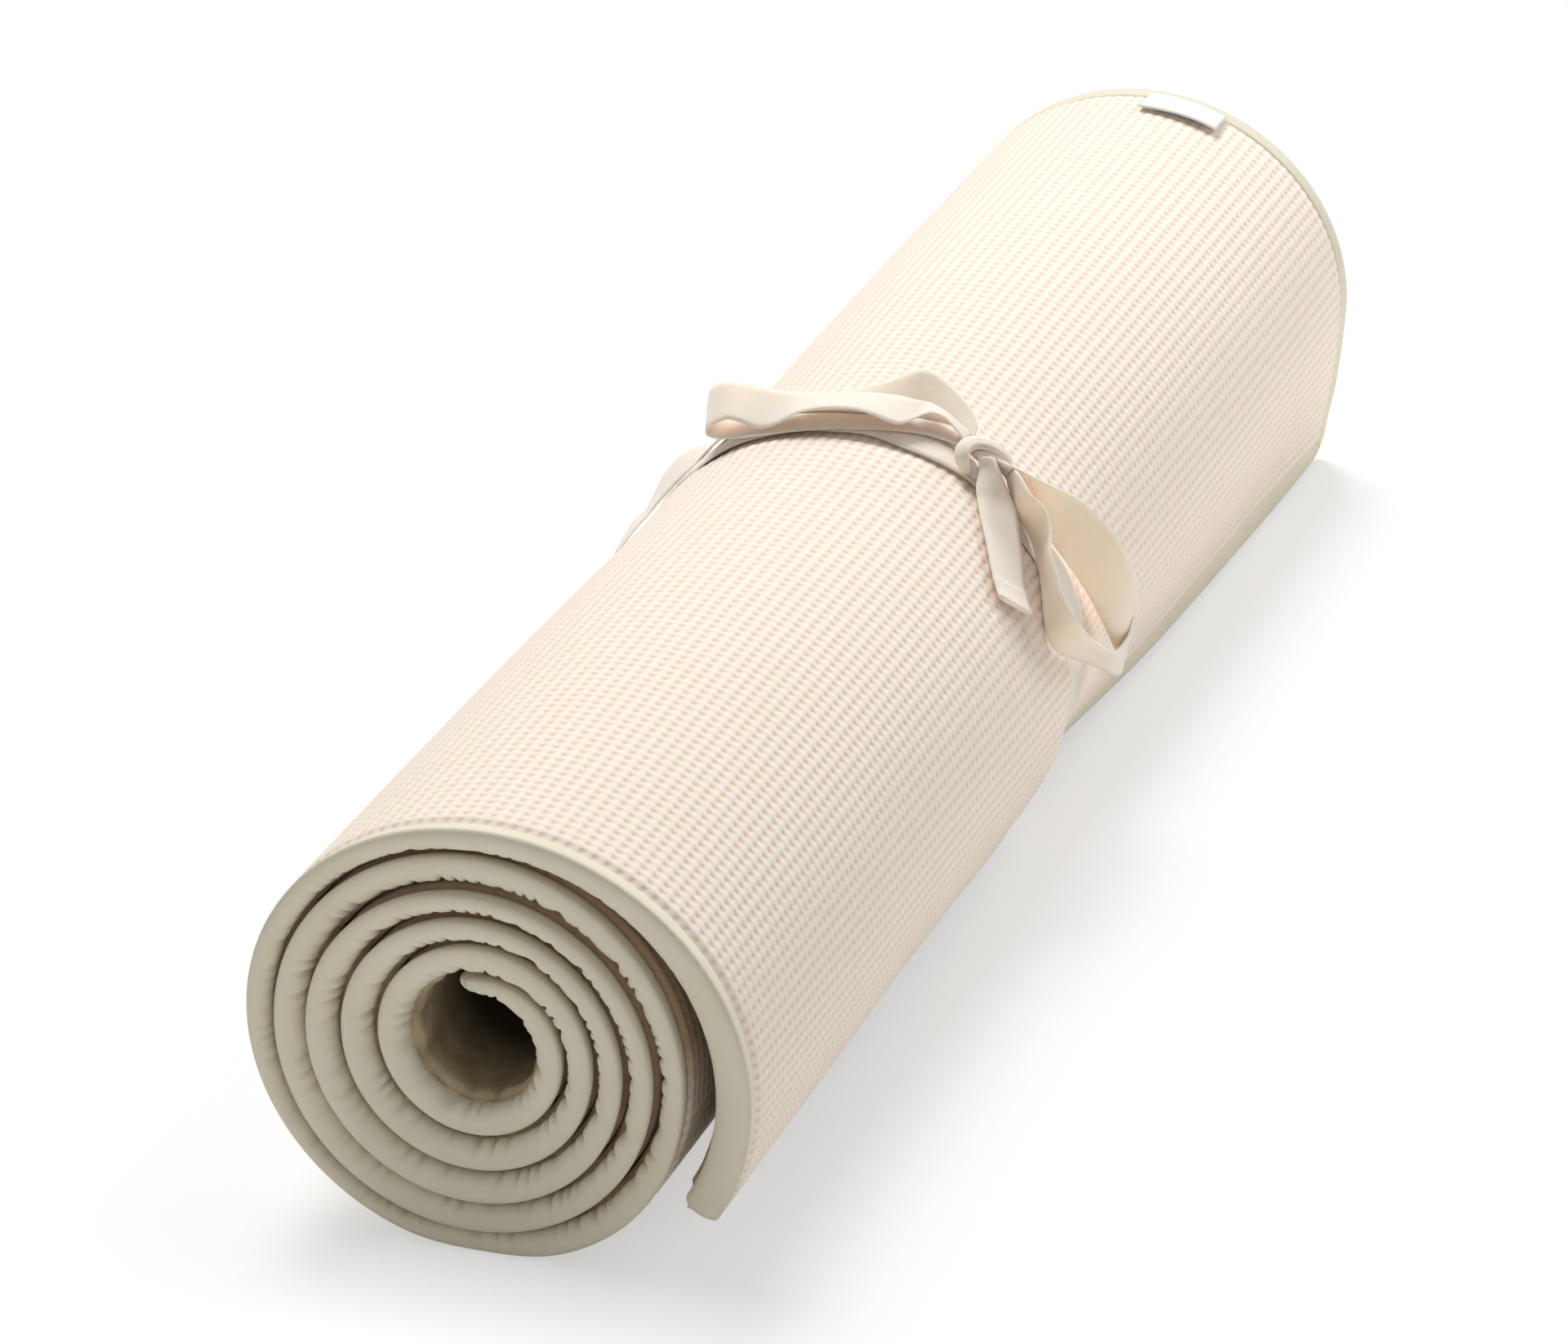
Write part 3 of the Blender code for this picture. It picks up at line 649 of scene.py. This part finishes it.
def waist_band():
    """Once round, on the outer turn, and straight across the step at the mat's free end.

    It narrows where the knot gathers it and a little under the left loop, where it is also
    pushed aside, and two small sines ripple its edges.
    """
    seat = mat_point(np.radians(np.arange(0, 316, 2.5)), TIE, 0.0)
    bridge = seat[-1] + (seat[0] - seat[-1]) * (np.arange(1, 15) / 15)[:, None]
    line = np.concatenate([seat, bridge])
    run = unit(np.roll(line, -1, axis=0) - np.roll(line, 1, axis=0))
    outward = np.stack([run[:, 2], 0 * run[:, 0], -run[:, 0]], axis=1)
    angle = np.arctan2(line[:, 2] - ROLL_MIDDLE, line[:, 0])
    gathered = np.exp(-((angle - KNOT_ANGLE) / 0.16) ** 2)
    under_loop = ease((angle - KNOT_ANGLE) / 0.3) * (1 - ease((angle - LOOP_BACK) / 0.3))
    half = TAPE_WIDTH / 2 * (1 - 0.45 * gathered - 0.15 * under_loop)
    ripple = 0.0005 * np.sin(angle * 9) + 0.0004 * np.sin(angle * 17 + 1)
    aside = np.array([0, 1.0, 0])
    centre = line + outward * BAND_LIFT + aside * (ripple + 0.0018 * under_loop)[:, None]
    near = above(centre - aside * half[:, None], BAND_FLOOR)
    far = above(centre + aside * half[:, None], BAND_FLOOR)
    rings, pattern, length = tape_rings(near, far, BAND_HOLLOW, closed=True)
    print(f"band round the waist: {length * 1000:.0f} mm")
    band = join("waist_band", [shell(rings, pattern, closed=True)])
    return wear(band, "mat", "tie_band"), length


band, band_length = waist_band()

# %% Left loop
LEFT_NEAR = (
    (6.1, 4.2, 4.6), (9.5, 5.9, 3.7), (14.4, 5.3, 3.2), (20.5, 3.4, 2.9), (28.2, -0.5, 2.7),
    (37.8, -4.8, 2.6), (47.9, -7.8, 2.6), (58.7, -9.4, 2.8), (68.1, -9.4, 3.4), (76.2, -8, 4.6),
    (82.4, -4.8, 6), (85.8, -1.6, 7.4), (84.9, -2.6, 8.8), (81.4, -6.1, 10), (77.8, -7.6, 10.6),
    (74.5, -7.5, 10.4), (71.2, -7.2, 8), (66.5, -8.6, 5.2), (60.4, -9.1, 5.4), (53.4, -8.6, 8.2),
    (46.4, -7.3, 9.4), (38.8, -5.5, 9.4), (32.9, -4.7, 8.6), (27.6, -4.4, 7.4), (24.4, -2.9, 7.2),
    (21.9, 1.9, 8.2), (19.5, 7, 9), (15.6, 8.7, 8.6), (11.2, 7.2, 7.6), (7.3, 5.2, 6.6),
)
LEFT_FAR = (
    (6.1, 9.2, 5.2), (9.5, 14.9, 4.1), (14.4, 18.3, 3.5), (20.5, 19.2, 3.1), (28.2, 15.9, 2.8),
    (37.8, 11.6, 2.7), (47.9, 8.6, 2.7), (58.7, 7, 3), (68.1, 7, 3.9), (75.9, 8.2, 6), (81.4, 10.8, 10),
    (87.3, 14.2, 13.3), (84.6, 12.1, 16.6), (80.1, 7.5, 18.6), (76.9, 6.5, 18.6), (74, 8.2, 16.4),
    (70.1, 8.6, 13.8), (65.3, 6.9, 11.8), (60.1, 6.5, 10.1), (53.4, 8, 8.6), (46.3, 8.9, 8.3),
    (38.9, 11.2, 8.1), (32.9, 11.9, 8.3), (28.4, 12.1, 8.8), (25.4, 12.3, 8.8), (22.3, 15.9, 7.6),
    (19.4, 16, 7.4), (15, 14.5, 7.2), (10.6, 12.5, 7), (7.1, 10, 7.3),
)
left_loop = strand(
    "left_loop", "left_loop", "bow_loop_left", LEFT_NEAR, LEFT_FAR)

# %% Right loop
RIGHT_BASE = (
    (-4.8, 7.8, 5), (-7.2, 7.2, 4.6), (-12, 3.2, 3.6), (-18.6, -2.9, 2.7), (-25, -4.6, 2.8),
    (-30.9, -8.8, 2.9), (-35.8, -13.4, 3), (-41.3, -19, 3.1), (-47.1, -24.9, 3.5), (-52.7, -26.9, 4.4),
    (-58.7, -22, 5.6), (-65.7, -8.8, 7), (-75, 7.6, 8.4), (-82.8, 22.2, 9.4), (-84.9, 29.2, 9.8),
    (-80.8, 27.8, 9.2), (-72.7, 20.9, 7.6), (-62.2, 15, 5.6), (-51.6, 10.4, 4.3), (-41.9, 6.7, 3.5),
    (-33.8, 4.3, 3.2), (-24.7, 4.5, 3.1), (-16.7, 6.1, 3.3), (-10, 6.4, 4), (-6.1, 5.5, 5),
)
RIGHT_TOP = (
    (-4.7, 4, 9.3), (-7.9, 2.3, 10.8), (-11.2, -4.8, 14.1), (-15.4, -10.5, 15.6), (-20.5, -12, 16.6),
    (-25.1, -16.1, 16.3), (-28.5, -21.3, 15.1), (-33.9, -27, 15.3), (-40, -31.8, 16.1),
    (-45.7, -33.1, 17.6), (-51.5, -28.5, 18.3), (-57.8, -18.3, 17.6), (-64.5, -2.2, 15.1),
    (-69.7, 14.3, 12.1), (-70.7, 24.7, 11.1), (-66.4, 27.2, 11.8), (-59.9, 27.5, 13.6), (-51.9, 22.4, 16.3),
    (-42.2, 17.6, 17.3), (-33.5, 14.4, 16.8), (-25.4, 9.6, 16.1), (-16.9, 1.2, 15.6), (-10.2, 0.8, 12.8),
    (-6, 1.8, 10.6), (-3.5, 2.8, 9.3),
)
right_loop = strand(
    "right_loop", "right_loop", "bow_loop_right", RIGHT_BASE, RIGHT_TOP)

# %% Short tail
SHORT_NEAR = (
    (1.2, -1.2, 8), (-1, -2.8, 6.2), (-3.4, -9.5, 4.6), (-6.3, -14.1, 3.6), (-11.2, -22, 3.4),
    (-17, -30.6, 3.6), (-22.2, -38.7, 4), (-26.1, -43.8, 4.6), (-28.8, -47.9, 5.6),
)
SHORT_FAR = (
    (-3.5, 2.8, 8.2), (-7.4, 0.5, 7), (-11.8, -1.4, 5.4), (-17.2, -4, 4.4), (-22.4, -11.8, 4.2),
    (-28.1, -20.6, 4.4), (-33, -29.2, 5), (-36.7, -34.3, 5.8), (-39.4, -37.9, 6.8),
)
TAIL_FINE = 8
tail_share = np.linspace(0, 1, TAIL_FINE * (len(SHORT_NEAR) - 1) + 1)
tail_hollow = 0.0022 * (1 - ease(tail_share / 0.35)) - 0.0003
tail_thickness = TAPE_THICKNESS * (1 + 0.9 * (tail_share > 0.80))  # its end is folded over and sewn
short_tail = strand(
    "short_tail", "short_tail", "tie_tail_short", SHORT_NEAR, SHORT_FAR,
    hollow=tail_hollow, fine=TAIL_FINE, thickness=tail_thickness)

# %% Long tail
LONG_NEAR = (
    (5.8, 12.5, 5), (8, 14.5, 4.4), (12, 15, 3.9), (16.5, 14.5, 3.6), (20.5, 13.2, 3.4), (24, 12, 3.3),
    (29, 9.5, 3.4), (35, 7, 3.5), (43, 5.5, 3.6), (52, 5, 3.7), (62, 5, 3.8), (73, 4, 3.9), (84, 5, 3.6),
    (95, 9, 2.6), (103.6, 12, 2),
)
LONG_FAR = (
    (6.8, 17.8, 6.4), (10.5, 23, 7), (15.8, 25.3, 9), (21, 26.7, 11), (25, 26.4, 13), (28, 24.8, 13.5),
    (31.5, 22.2, 11.5), (37.5, 18.5, 8.5), (46, 19, 5), (55, 20, 3.2), (65, 20.2, 2.6), (75.5, 18.6, 2.9),
    (86, 19, 2.7), (96, 24, 2.4), (103.6, 28.5, 2),
)
long_tail = strand(
    "long_tail", "mat", "tie_tail_long", LONG_NEAR, LONG_FAR)

# %% Hanging end
HANGING_NEAR = (
    (104.4, 12, 2), (106.9, 12, 2.2), (111.6, 11.5, 2.8), (117.3, 10.5, 3.8), (121.7, 9, 4.9),
    (124.5, 7, 5.6), (125.9, 5, 5.9), (128.1, 2.5, 6.8), (131.5, -0.5, 7.9), (136.3, -3.5, 9.3),
)
HANGING_FAR = (
    (104.4, 28.5, 2), (106.2, 28.2, 3.9), (111.3, 27.2, 7.1), (117.1, 26, 8.9), (122.8, 24.7, 9.7),
    (128.4, 22.5, 9.8), (131.6, 19.7, 10.1), (134.9, 16.5, 12.1), (138.7, 13, 13.5), (143.5, 10, 15),
)
hanging_end = strand(
    "hanging_end", "long_tail_end", "tie_tail_long_end", HANGING_NEAR, HANGING_FAR)

# %% [markdown]
# ## Knot
#
# In the knot the tape is crushed to a cord and goes round itself. Four passes of it show:
# one that comes over the front as a crescent, a second beside it, one under both and the
# bundle behind. Each is a tube along an open path. Its section is an uneven oval, so that it
# reads as tape pulled tight, and one axis of it points away from the knot's middle.

# %% Knot
KNOT_CENTRE = roll_point(-1, 3.0, 3.5)
PASS_LENGTH = 0.020
CRESCENT = (
    (0.4, -3.5, 3), (2.7, -4.7, 4.8), (4.5, -4.5, 6.6), (5.5, -2.2, 8), (4.8, 1.5, 9), (2.4, 4.6, 9.4),
    (-0.9, 7.2, 9), (-4.2, 9.4, 8), (-7.2, 11.2, 6.2),
)
SECOND = (
    (1.8, 0, 6.8), (0.6, 3.2, 7.6), (-2.2, 5.4, 7.2), (-5.1, 7.6, 6.4), (-8, 9, 5.4), (-10.3, 9.4, 4.2),
)
UNDER = ((4.8, 4.5, 3.0), (3.8, 0, 3.6), (1.1, -1.8, 3.6), (-1.6, -2, 3.2), (-3.6, 0.3, 2.6))
BUNDLE = ((9, 9, 5.2), (5, 7, 5.6), (1, 5.4, 5.8), (-3, 5, 5.8), (-7, 5.6, 5.6))


def crushed_tape(places, thick, wide, creases, phase=0.0, around=24, fine=6):
    """A shell along a path over the roll: an oval, creased lengthways and tapered to both ends.

    The radius waves three and seven times round, which makes the creases, and shrinks to a
    third at both ends.
    """
    points = roll_point(*smooth_rows(places, fine).T)
    along = unit(np.gradient(points, axis=0))
    out = points - KNOT_CENTRE
    out = unit(out - (out * along).sum(1, keepdims=True) * along)
    side = np.cross(along, out)
    phi = np.arange(around) / around * TURN
    t = np.linspace(0, 1, len(points))
    size = 0.34 + 0.66 * np.sin(math.pi * t) ** 0.6
    wave = 1 + creases * np.sin(3 * phi[None, :] + phase + 2.5 * t[:, None])
    wave = (wave + creases * 0.7 * np.sin(7 * phi[None, :] - phase)) * size[:, None]
    rings = points[:, None] + out[:, None] * (np.sin(phi)[None, :] * wave * thick)[..., None]
    rings = rings + side[:, None] * (np.cos(phi)[None, :] * wave * wide)[..., None]
    pattern = np.stack(np.meshgrid(phi / TURN * TAPE_WIDTH, t * PASS_LENGTH), axis=-1)
    return shell(rings, pattern)


knot = join("bow_knot", [
    crushed_tape(CRESCENT, 0.0021, 0.0027, 0.09, 0.4),
    crushed_tape(SECOND, 0.0015, 0.0026, 0.10, 1.9),
    crushed_tape(UNDER, 0.0017, 0.0023, 0.08, 0.9),
    crushed_tape(BUNDLE, 0.0020, 0.0032, 0.10, 0.0),
])
wear(knot, "mat", "tie_knot")

# %% [markdown]
# ## Label
#
# A short piece of white woven label is folded in two and caught in the far seam, with
# nothing printed on it. One closed section, a flat hairpin, is carried along its length,
# and its free fold is lifted and a little wavy.

# %% Label
LABEL_ANGLE = math.radians(76.5)
LABEL_SEAM, LABEL_ASIDE = MAT_WIDTH - 0.0071, 290
LABEL_HALF, LABEL_DEPTH = 0.0134, 0.0148
LEAF, LEAF_GAP = 0.00042, 0.00030
FOLD_OUT, FOLD_IN = 0.0009, 0.0005
LABEL_LIFT, FREE_LIFT = 0.0010, 0.0012


def hairpin(half_height, reach):
    """Half a section: out along the under leaf, round the fold as half an oval, and back above."""
    legs = np.linspace(0, LABEL_DEPTH - FOLD_OUT, 9)
    fold = np.linspace(-math.pi / 2, math.pi / 2, 9)[1:-1]
    under = np.stack([legs, 0 * legs - half_height], 1)
    bend = np.stack([legs[-1] + np.cos(fold) * reach, np.sin(fold) * half_height], 1)
    over = np.stack([legs[::-1], 0 * legs + half_height], 1)
    return np.concatenate([under, bend, over])


def woven_label():
    """A hairpin and a smaller one back inside it, carried along the seam.

    The lift over the roll grows with the power 1.6 of the distance out of the seam, and a
    slow sine along the label makes it uneven.
    """
    section = np.concatenate([hairpin(LEAF + LEAF_GAP / 2, FOLD_OUT), hairpin(LEAF_GAP / 2, FOLD_IN)[::-1]])
    t = np.linspace(-1, 1, 28)
    round_mm = (LABEL_ANGLE - KNOT_ANGLE) * WAIST_RADIUS * 1000 - t * LABEL_HALF * 1000
    spots, reach = np.meshgrid(round_mm, section[:, 0], indexing="ij")
    base = roll_point(spots, (LABEL_SEAM - reach - TIE) * 1000, 0 * spots)
    uneven = 1 + 0.25 * np.sin(2.2 * t + 0.4)
    lift = LABEL_LIFT + section[:, 1] + FREE_LIFT * (reach / LABEL_DEPTH) ** 1.6 * uneven[:, None]
    aside = LABEL_ASIDE + 0 * t
    outward = unit(roll_point(round_mm, aside, 1 + 0 * t) - roll_point(round_mm, aside, 0 * t))
    pattern = np.stack([t[:, None] * LABEL_HALF + 0 * reach, reach], axis=-1)
    return join("folded_label", [shell(base + outward[:, None] * lift[..., None], pattern)])


label = wear(woven_label(), "label_fold", "label")

# %% [markdown]
# ## Materials
#
# Every cloth is a Principled shader with a little sheen. Patterns that follow the cloth
# read its own UV map, in metres or in rib pitches, and so does the painted shade of the
# waffle's wound-in turns. Broad, uneven tints and the painted shade deep in the bore read
# Object coordinates.

# %% Material helpers
SHEEN_ROUGHNESS, SPECULAR = 0.5, 0.25
SINK_SHARE, SINK_COLOUR = 0.8, (1.0, 0.80, 0.60)


def new_material(name, roughness, sheen, depth=0.0):
    """A cloth shader whose even values are set on its own sockets; light sinks in by the depth."""
    material = bpy.data.materials.new(name)
    material.use_nodes = True
    shader = material.node_tree.nodes["Principled BSDF"]
    values = {"Roughness": roughness, "Sheen Weight": sheen}
    values.update({"Sheen Roughness": SHEEN_ROUGHNESS, "Specular IOR Level": SPECULAR})
    if depth:
        values.update({"Subsurface Weight": SINK_SHARE, "Subsurface Radius": SINK_COLOUR})
        values["Subsurface Scale"] = depth
    for socket, value in values.items():
        shader.inputs[socket].default_value = value
    return material, Nodes(material.node_tree), shader


class Nodes:
    """Shorthand for a node tree: each call adds a node, links its inputs and returns its output."""

    def __init__(self, tree):
        self.tree = tree

    def put(self, socket, value):
        """Links another node's output to a socket, or sets a plain value on it."""
        if isinstance(value, bpy.types.NodeSocket):
            self.tree.links.new(value, socket)
        else:
            socket.default_value = value

    def math(self, operation, a, b=0.0, c=0.0):
        node = self.tree.nodes.new("ShaderNodeMath")
        node.operation = operation
        for socket, value in zip(node.inputs, (a, b, c)):
            self.put(socket, value)
        return node.outputs[0]

    def inverse(self, value):
        """One less the value."""
        return self.math("SUBTRACT", 1.0, value)

    def limit(self, value, most=1.0):
        """The value, but no less than nothing and no more than the most."""
        return self.math("MINIMUM", self.math("MAXIMUM", value, 0.0), most)

    def mix(self, share, first, second):
        """From the first colour a share of the way to the second."""
        node = self.tree.nodes.new("ShaderNodeMix")
        node.data_type = "RGBA"
        self.put(node.inputs["Factor"], share)
        self.put(node.inputs["A"], first)
        self.put(node.inputs["B"], second)
        return node.outputs["Result"]

    def noise(self, vector, scale, detail=2.0):
        """Noise from 0 to 1, its spots about one over the scale wide."""
        node = self.tree.nodes.new("ShaderNodeTexNoise")
        self.put(node.inputs["Vector"], vector)
        node.inputs["Scale"].default_value = scale
        node.inputs["Detail"].default_value = detail
        return node.outputs["Fac"]

    def uv(self):
        """U and V of the piece's own map."""
        node = self.tree.nodes.new("ShaderNodeUVMap")
        node.uv_map = "cloth"
        return self.split(node.outputs["UV"])

    def place(self):
        return self.tree.nodes.new("ShaderNodeTexCoord").outputs["Object"]

    def split(self, vector):
        node = self.tree.nodes.new("ShaderNodeSeparateXYZ")
        self.put(node.inputs[0], vector)
        return node.outputs[0], node.outputs[1]

    def wave(self, value, times):
        """A wave from 0 to 1: half of one plus the cosine, so many times per unit."""
        turned = self.math("MULTIPLY", value, times * TURN)
        return self.math("MULTIPLY_ADD", self.math("COSINE", turned), 0.5, 0.5)

    def bump(self, height, distance, shader):
        """Relief on a shader: a height of 1 stands for the distance."""
        node = self.tree.nodes.new("ShaderNodeBump")
        node.inputs["Strength"].default_value = 1.0
        node.inputs["Distance"].default_value = distance
        self.put(node.inputs["Height"], height)
        self.put(shader.inputs["Normal"], node.outputs[0])


# %% Waffle weave
CREAM, PALE_CREAM = (0.960, 0.858, 0.740, 1), (0.975, 0.888, 0.790, 1)
VALLEY, HOLLOW = (0.940, 0.780, 0.610, 1), (0.870, 0.670, 0.520, 1)
# Painted shade: the brown given to the turns wound in under the outer one.
WOUND_IN_SHADE = (0.470, 0.300, 0.165, 1)
WAFFLE_BUMP = 0.00022


def waffle_material():
    """Cream ribs with a row of peach hollows between them, and a painted brown shade where the cloth is
    wound in under the outer turn.

    A hollow is the product of a power of the valley wave and one of the cell wave.
    """
    material, n, shader = new_material("waffle_cotton", 0.92, 0.25)
    u, v = n.uv()
    ridge, cell = n.wave(u, 1.0), n.wave(v, 1.0)
    valley = n.inverse(ridge)
    spot = n.math("MULTIPLY", n.math("POWER", valley, 1.7), n.math("POWER", cell, 1.2))
    place = n.place()
    patchy = n.math("MULTIPLY_ADD", n.noise(place, 900), 0.9, 0.45)
    base = n.mix(n.noise(place, 22, 3), CREAM, PALE_CREAM)
    soft = n.mix(n.math("MULTIPLY", valley, 0.45), base, VALLEY)
    colour = n.mix(n.math("MINIMUM", n.math("MULTIPLY", spot, patchy), 1.0), soft, HOLLOW)
    # Painted shade: past the outer turn the colour goes most of the way to the brown of the wound-in turns,
    # over six rib pitches.
    inner_turn_shade = n.math("DIVIDE", n.math("SUBTRACT", u, outer_turn / RIB_PITCH), 6.0)
    colour = n.mix(n.limit(inner_turn_shade, 0.85), colour, WOUND_IN_SHADE)
    n.put(shader.inputs["Base Color"], colour)
    height = n.math("MULTIPLY_ADD", spot, -1.0, n.math("MULTIPLY", n.wave(v, 6.0), 0.10))
    height = n.math("MULTIPLY_ADD", n.inverse(cell), 0.45, height)
    height = n.math("MULTIPLY_ADD", n.noise(place, 2600, 3), 0.22, height)
    n.bump(height, WAFFLE_BUMP, shader)
    return material


# %% Plain weaves
# Where the painted shade deep in the bore starts, and over how much it fades in.
BORE_SHADE_FROM, BORE_SHADE_FADE = 0.297, 0.034


def weave_material(name, light, dark, roughness, threads, depth, sheen=0.25, patches=35, deep=None):
    """A plain weave over an uneven tint, which darkens to a painted shade deep in the bore.

    A thread shows where both waves are high or both low: their product plus that of their
    inverses.
    """
    material, n, shader = new_material(name, roughness, sheen)
    u, v = n.uv()
    warp, weft = n.wave(u, threads), n.wave(v, threads)
    over, under = n.math("MULTIPLY", warp, weft), n.math("MULTIPLY", n.inverse(warp), n.inverse(weft))
    weave = n.math("ADD", over, under)
    place = n.place()
    patch = n.math("MULTIPLY_ADD", n.math("SUBTRACT", n.noise(place, patches, 3), 0.5), 2.0, 0.5)
    tint = n.mix(n.limit(patch), light, dark)
    # Painted shade: towards the middle of the roll the tint darkens to the deep colour, the shade inside
    # the bore.
    if deep:
        inward = n.math("SUBTRACT", BORE_SHADE_FROM, n.math("ABSOLUTE", n.split(place)[1]))
        tint = n.mix(n.limit(n.math("DIVIDE", inward, BORE_SHADE_FADE)), tint, deep)
    gap = [c * 0.72 for c in dark[:3]] + [1]
    n.put(shader.inputs["Base Color"], n.mix(n.math("MULTIPLY", n.inverse(weave), 0.22), tint, gap))
    n.bump(n.math("MULTIPLY_ADD", n.noise(place, 2400), 0.4, weave), depth, shader)
    return material


# %% Herringbone tape
TAPE_CREAM, TAPE_PALE = (0.985, 0.820, 0.698, 1), (0.990, 0.862, 0.768, 1)
TAPE_GROOVE = (0.880, 0.690, 0.550, 1)
LINE_PITCH, CROSS_PITCH = 0.00105, 0.00052
TAPE_SINK, TAPE_BUMP = 0.0012, 0.00006


def twill_material():
    """Herringbone: slanted lines that turn back at the middle of the tape and at both quarters."""
    material, n, shader = new_material("herringbone_tape", 0.9, 0.25, TAPE_SINK)
    u, v = n.uv()
    zigzag = n.math("PINGPONG", u, TAPE_WIDTH / 4)
    line = n.wave(n.math("ADD", zigzag, v), 1 / LINE_PITCH)
    cross = n.wave(n.math("SUBTRACT", zigzag, v), 1 / CROSS_PITCH)
    place = n.place()
    tint = n.mix(n.noise(place, 40, 3), TAPE_CREAM, TAPE_PALE)
    n.put(shader.inputs["Base Color"], n.mix(n.math("MULTIPLY", n.inverse(line), 0.20), tint, TAPE_GROOVE))
    height = n.math("MULTIPLY_ADD", cross, 0.25, line)
    n.bump(n.math("MULTIPLY_ADD", n.noise(place, 2600), 0.35, height), TAPE_BUMP, shader)
    return material


# %% Putting the finishes on
binding_cloth = weave_material(
    "binding_cotton", light=(0.932, 0.868, 0.695, 1), dark=(0.888, 0.812, 0.622, 1),
    roughness=0.8, threads=2200, depth=0.00008)
# The lining's deep colour is the painted shade inside the bore.
lining_weave = weave_material(
    "lining_cotton", light=(0.800, 0.660, 0.430, 1), dark=(0.420, 0.320, 0.185, 1),
    roughness=0.95, threads=1300, depth=0.00016, sheen=0.0, patches=120, deep=(0.070, 0.048, 0.025, 1))
filling_felt = weave_material(
    "filling_felt", light=(0.80, 0.74, 0.62, 1), dark=(0.76, 0.70, 0.58, 1),
    roughness=1.0, threads=600, depth=0.0003)
label_satin = weave_material(
    "label_satin", light=(0.955, 0.955, 0.940, 1), dark=(0.935, 0.935, 0.920, 1),
    roughness=0.55, threads=2600, depth=0.00005)
for material, pieces in [
    (waffle_material(), [cover]), (filling_felt, [filling]), (lining_weave, [lining]),
    (label_satin, [label]), (binding_cloth, bindings),
    (twill_material(), [band, left_loop, right_loop, short_tail, long_tail, hanging_end, knot]),
]:
    for piece in pieces:
        piece.data.materials.append(material)
print("materials:", len(bpy.data.materials))

# %% [markdown]
# ## Floor and light
#
# The mat lies on a white sheet that fades into a white background. Close to the roll the
# sheet is half plain paper, so that it keeps the shadow, and further off it is only light.
# One large soft lamp stands high behind the roll on the left and a weaker one behind it on
# the right. A faint one in front keeps the open end, which is in shade, from going black.

# %% Floor
FLOOR_HALF, FLOOR_DROP = 6, 0.0002
PAPER = (0.93, 0.93, 0.93, 1)
SHADE_SIDE, SHADE_END, SHADE_FADE = 0.07, 0.30, 0.055


def white_floor():
    """A large level sheet of white paper, lifted towards pure white where it is only looked at.

    The lift grows from a half to the whole with the distance from the roll's footprint.
    """
    h = FLOOR_HALF
    mesh = bpy.data.meshes.new("floor")
    mesh.from_pydata([(-h, -h, 0), (h, -h, 0), (h, h, 0), (-h, h, 0)], [], [(0, 1, 2, 3)])
    floor = added("floor", mesh)
    floor.location.z = -FLOOR_DROP
    material = bpy.data.materials.new("white_paper")
    material.use_nodes = True
    tree = material.node_tree
    shader = tree.nodes["Principled BSDF"]
    shader.inputs["Base Color"].default_value = PAPER
    shader.inputs["Roughness"].default_value = 0.9
    glow = tree.nodes.new("ShaderNodeEmission")
    path = tree.nodes.new("ShaderNodeLightPath")
    n = Nodes(tree)
    off = [n.math("MAXIMUM", n.math("SUBTRACT", n.math("ABSOLUTE", axis), shade), 0.0)
           for axis, shade in zip(n.split(n.place()), (SHADE_SIDE, SHADE_END))]
    away = n.math("SQRT", n.math("ADD", n.math("POWER", off[0], 2.0), n.math("POWER", off[1], 2.0)))
    fade = n.math("MINIMUM", n.math("DIVIDE", away, SHADE_FADE), 1.0)
    glow_share = n.math("MULTIPLY_ADD", fade, 0.50, 0.50)
    mirrored = n.math("MAXIMUM", path.outputs["Is Glossy Ray"], path.outputs["Is Transmission Ray"])
    seen = n.math("MAXIMUM", path.outputs["Is Camera Ray"], mirrored)
    blend = tree.nodes.new("ShaderNodeMixShader")
    n.put(blend.inputs[0], n.math("MULTIPLY", seen, glow_share))
    n.put(blend.inputs[1], shader.outputs[0])
    n.put(blend.inputs[2], glow.outputs[0])
    n.put(tree.nodes["Material Output"].inputs["Surface"], blend.outputs[0])
    mesh.materials.append(material)


white_floor()


# %% Lamps
WORLD_STRENGTH = 0.255


def soft_lamp(name, place, target, size, power):
    """A square area lamp that faces its target."""
    lamp = bpy.data.lights.new(name, "AREA")
    lamp.size = size
    lamp.energy = power
    holder = added(name, lamp)
    holder.location = place
    way = Vector(target) - Vector(place)
    holder.rotation_euler = way.to_track_quat("-Z", "Y").to_euler()


world = bpy.data.worlds.new("world")
bpy.context.scene.world = world
world.use_nodes = True
background = world.node_tree.nodes["Background"].inputs
background["Color"].default_value = (1, 1, 1, 1)
background["Strength"].default_value = WORLD_STRENGTH
soft_lamp("high_lamp", (-0.85, 1.35, 2.5), (0, 0, 0), 1.4, 78)
soft_lamp("far_right_lamp", (1.35, 1.35, 1.0), (0, 0.1, 0), 1.2, 14)
soft_lamp("front_fill", (0.4, -2.3, 0.8), (0, -0.3, 0.05), 1.6, 5)
print("lamps:", len(bpy.data.lights))
bpy.context.scene.view_settings.view_transform = "Standard"
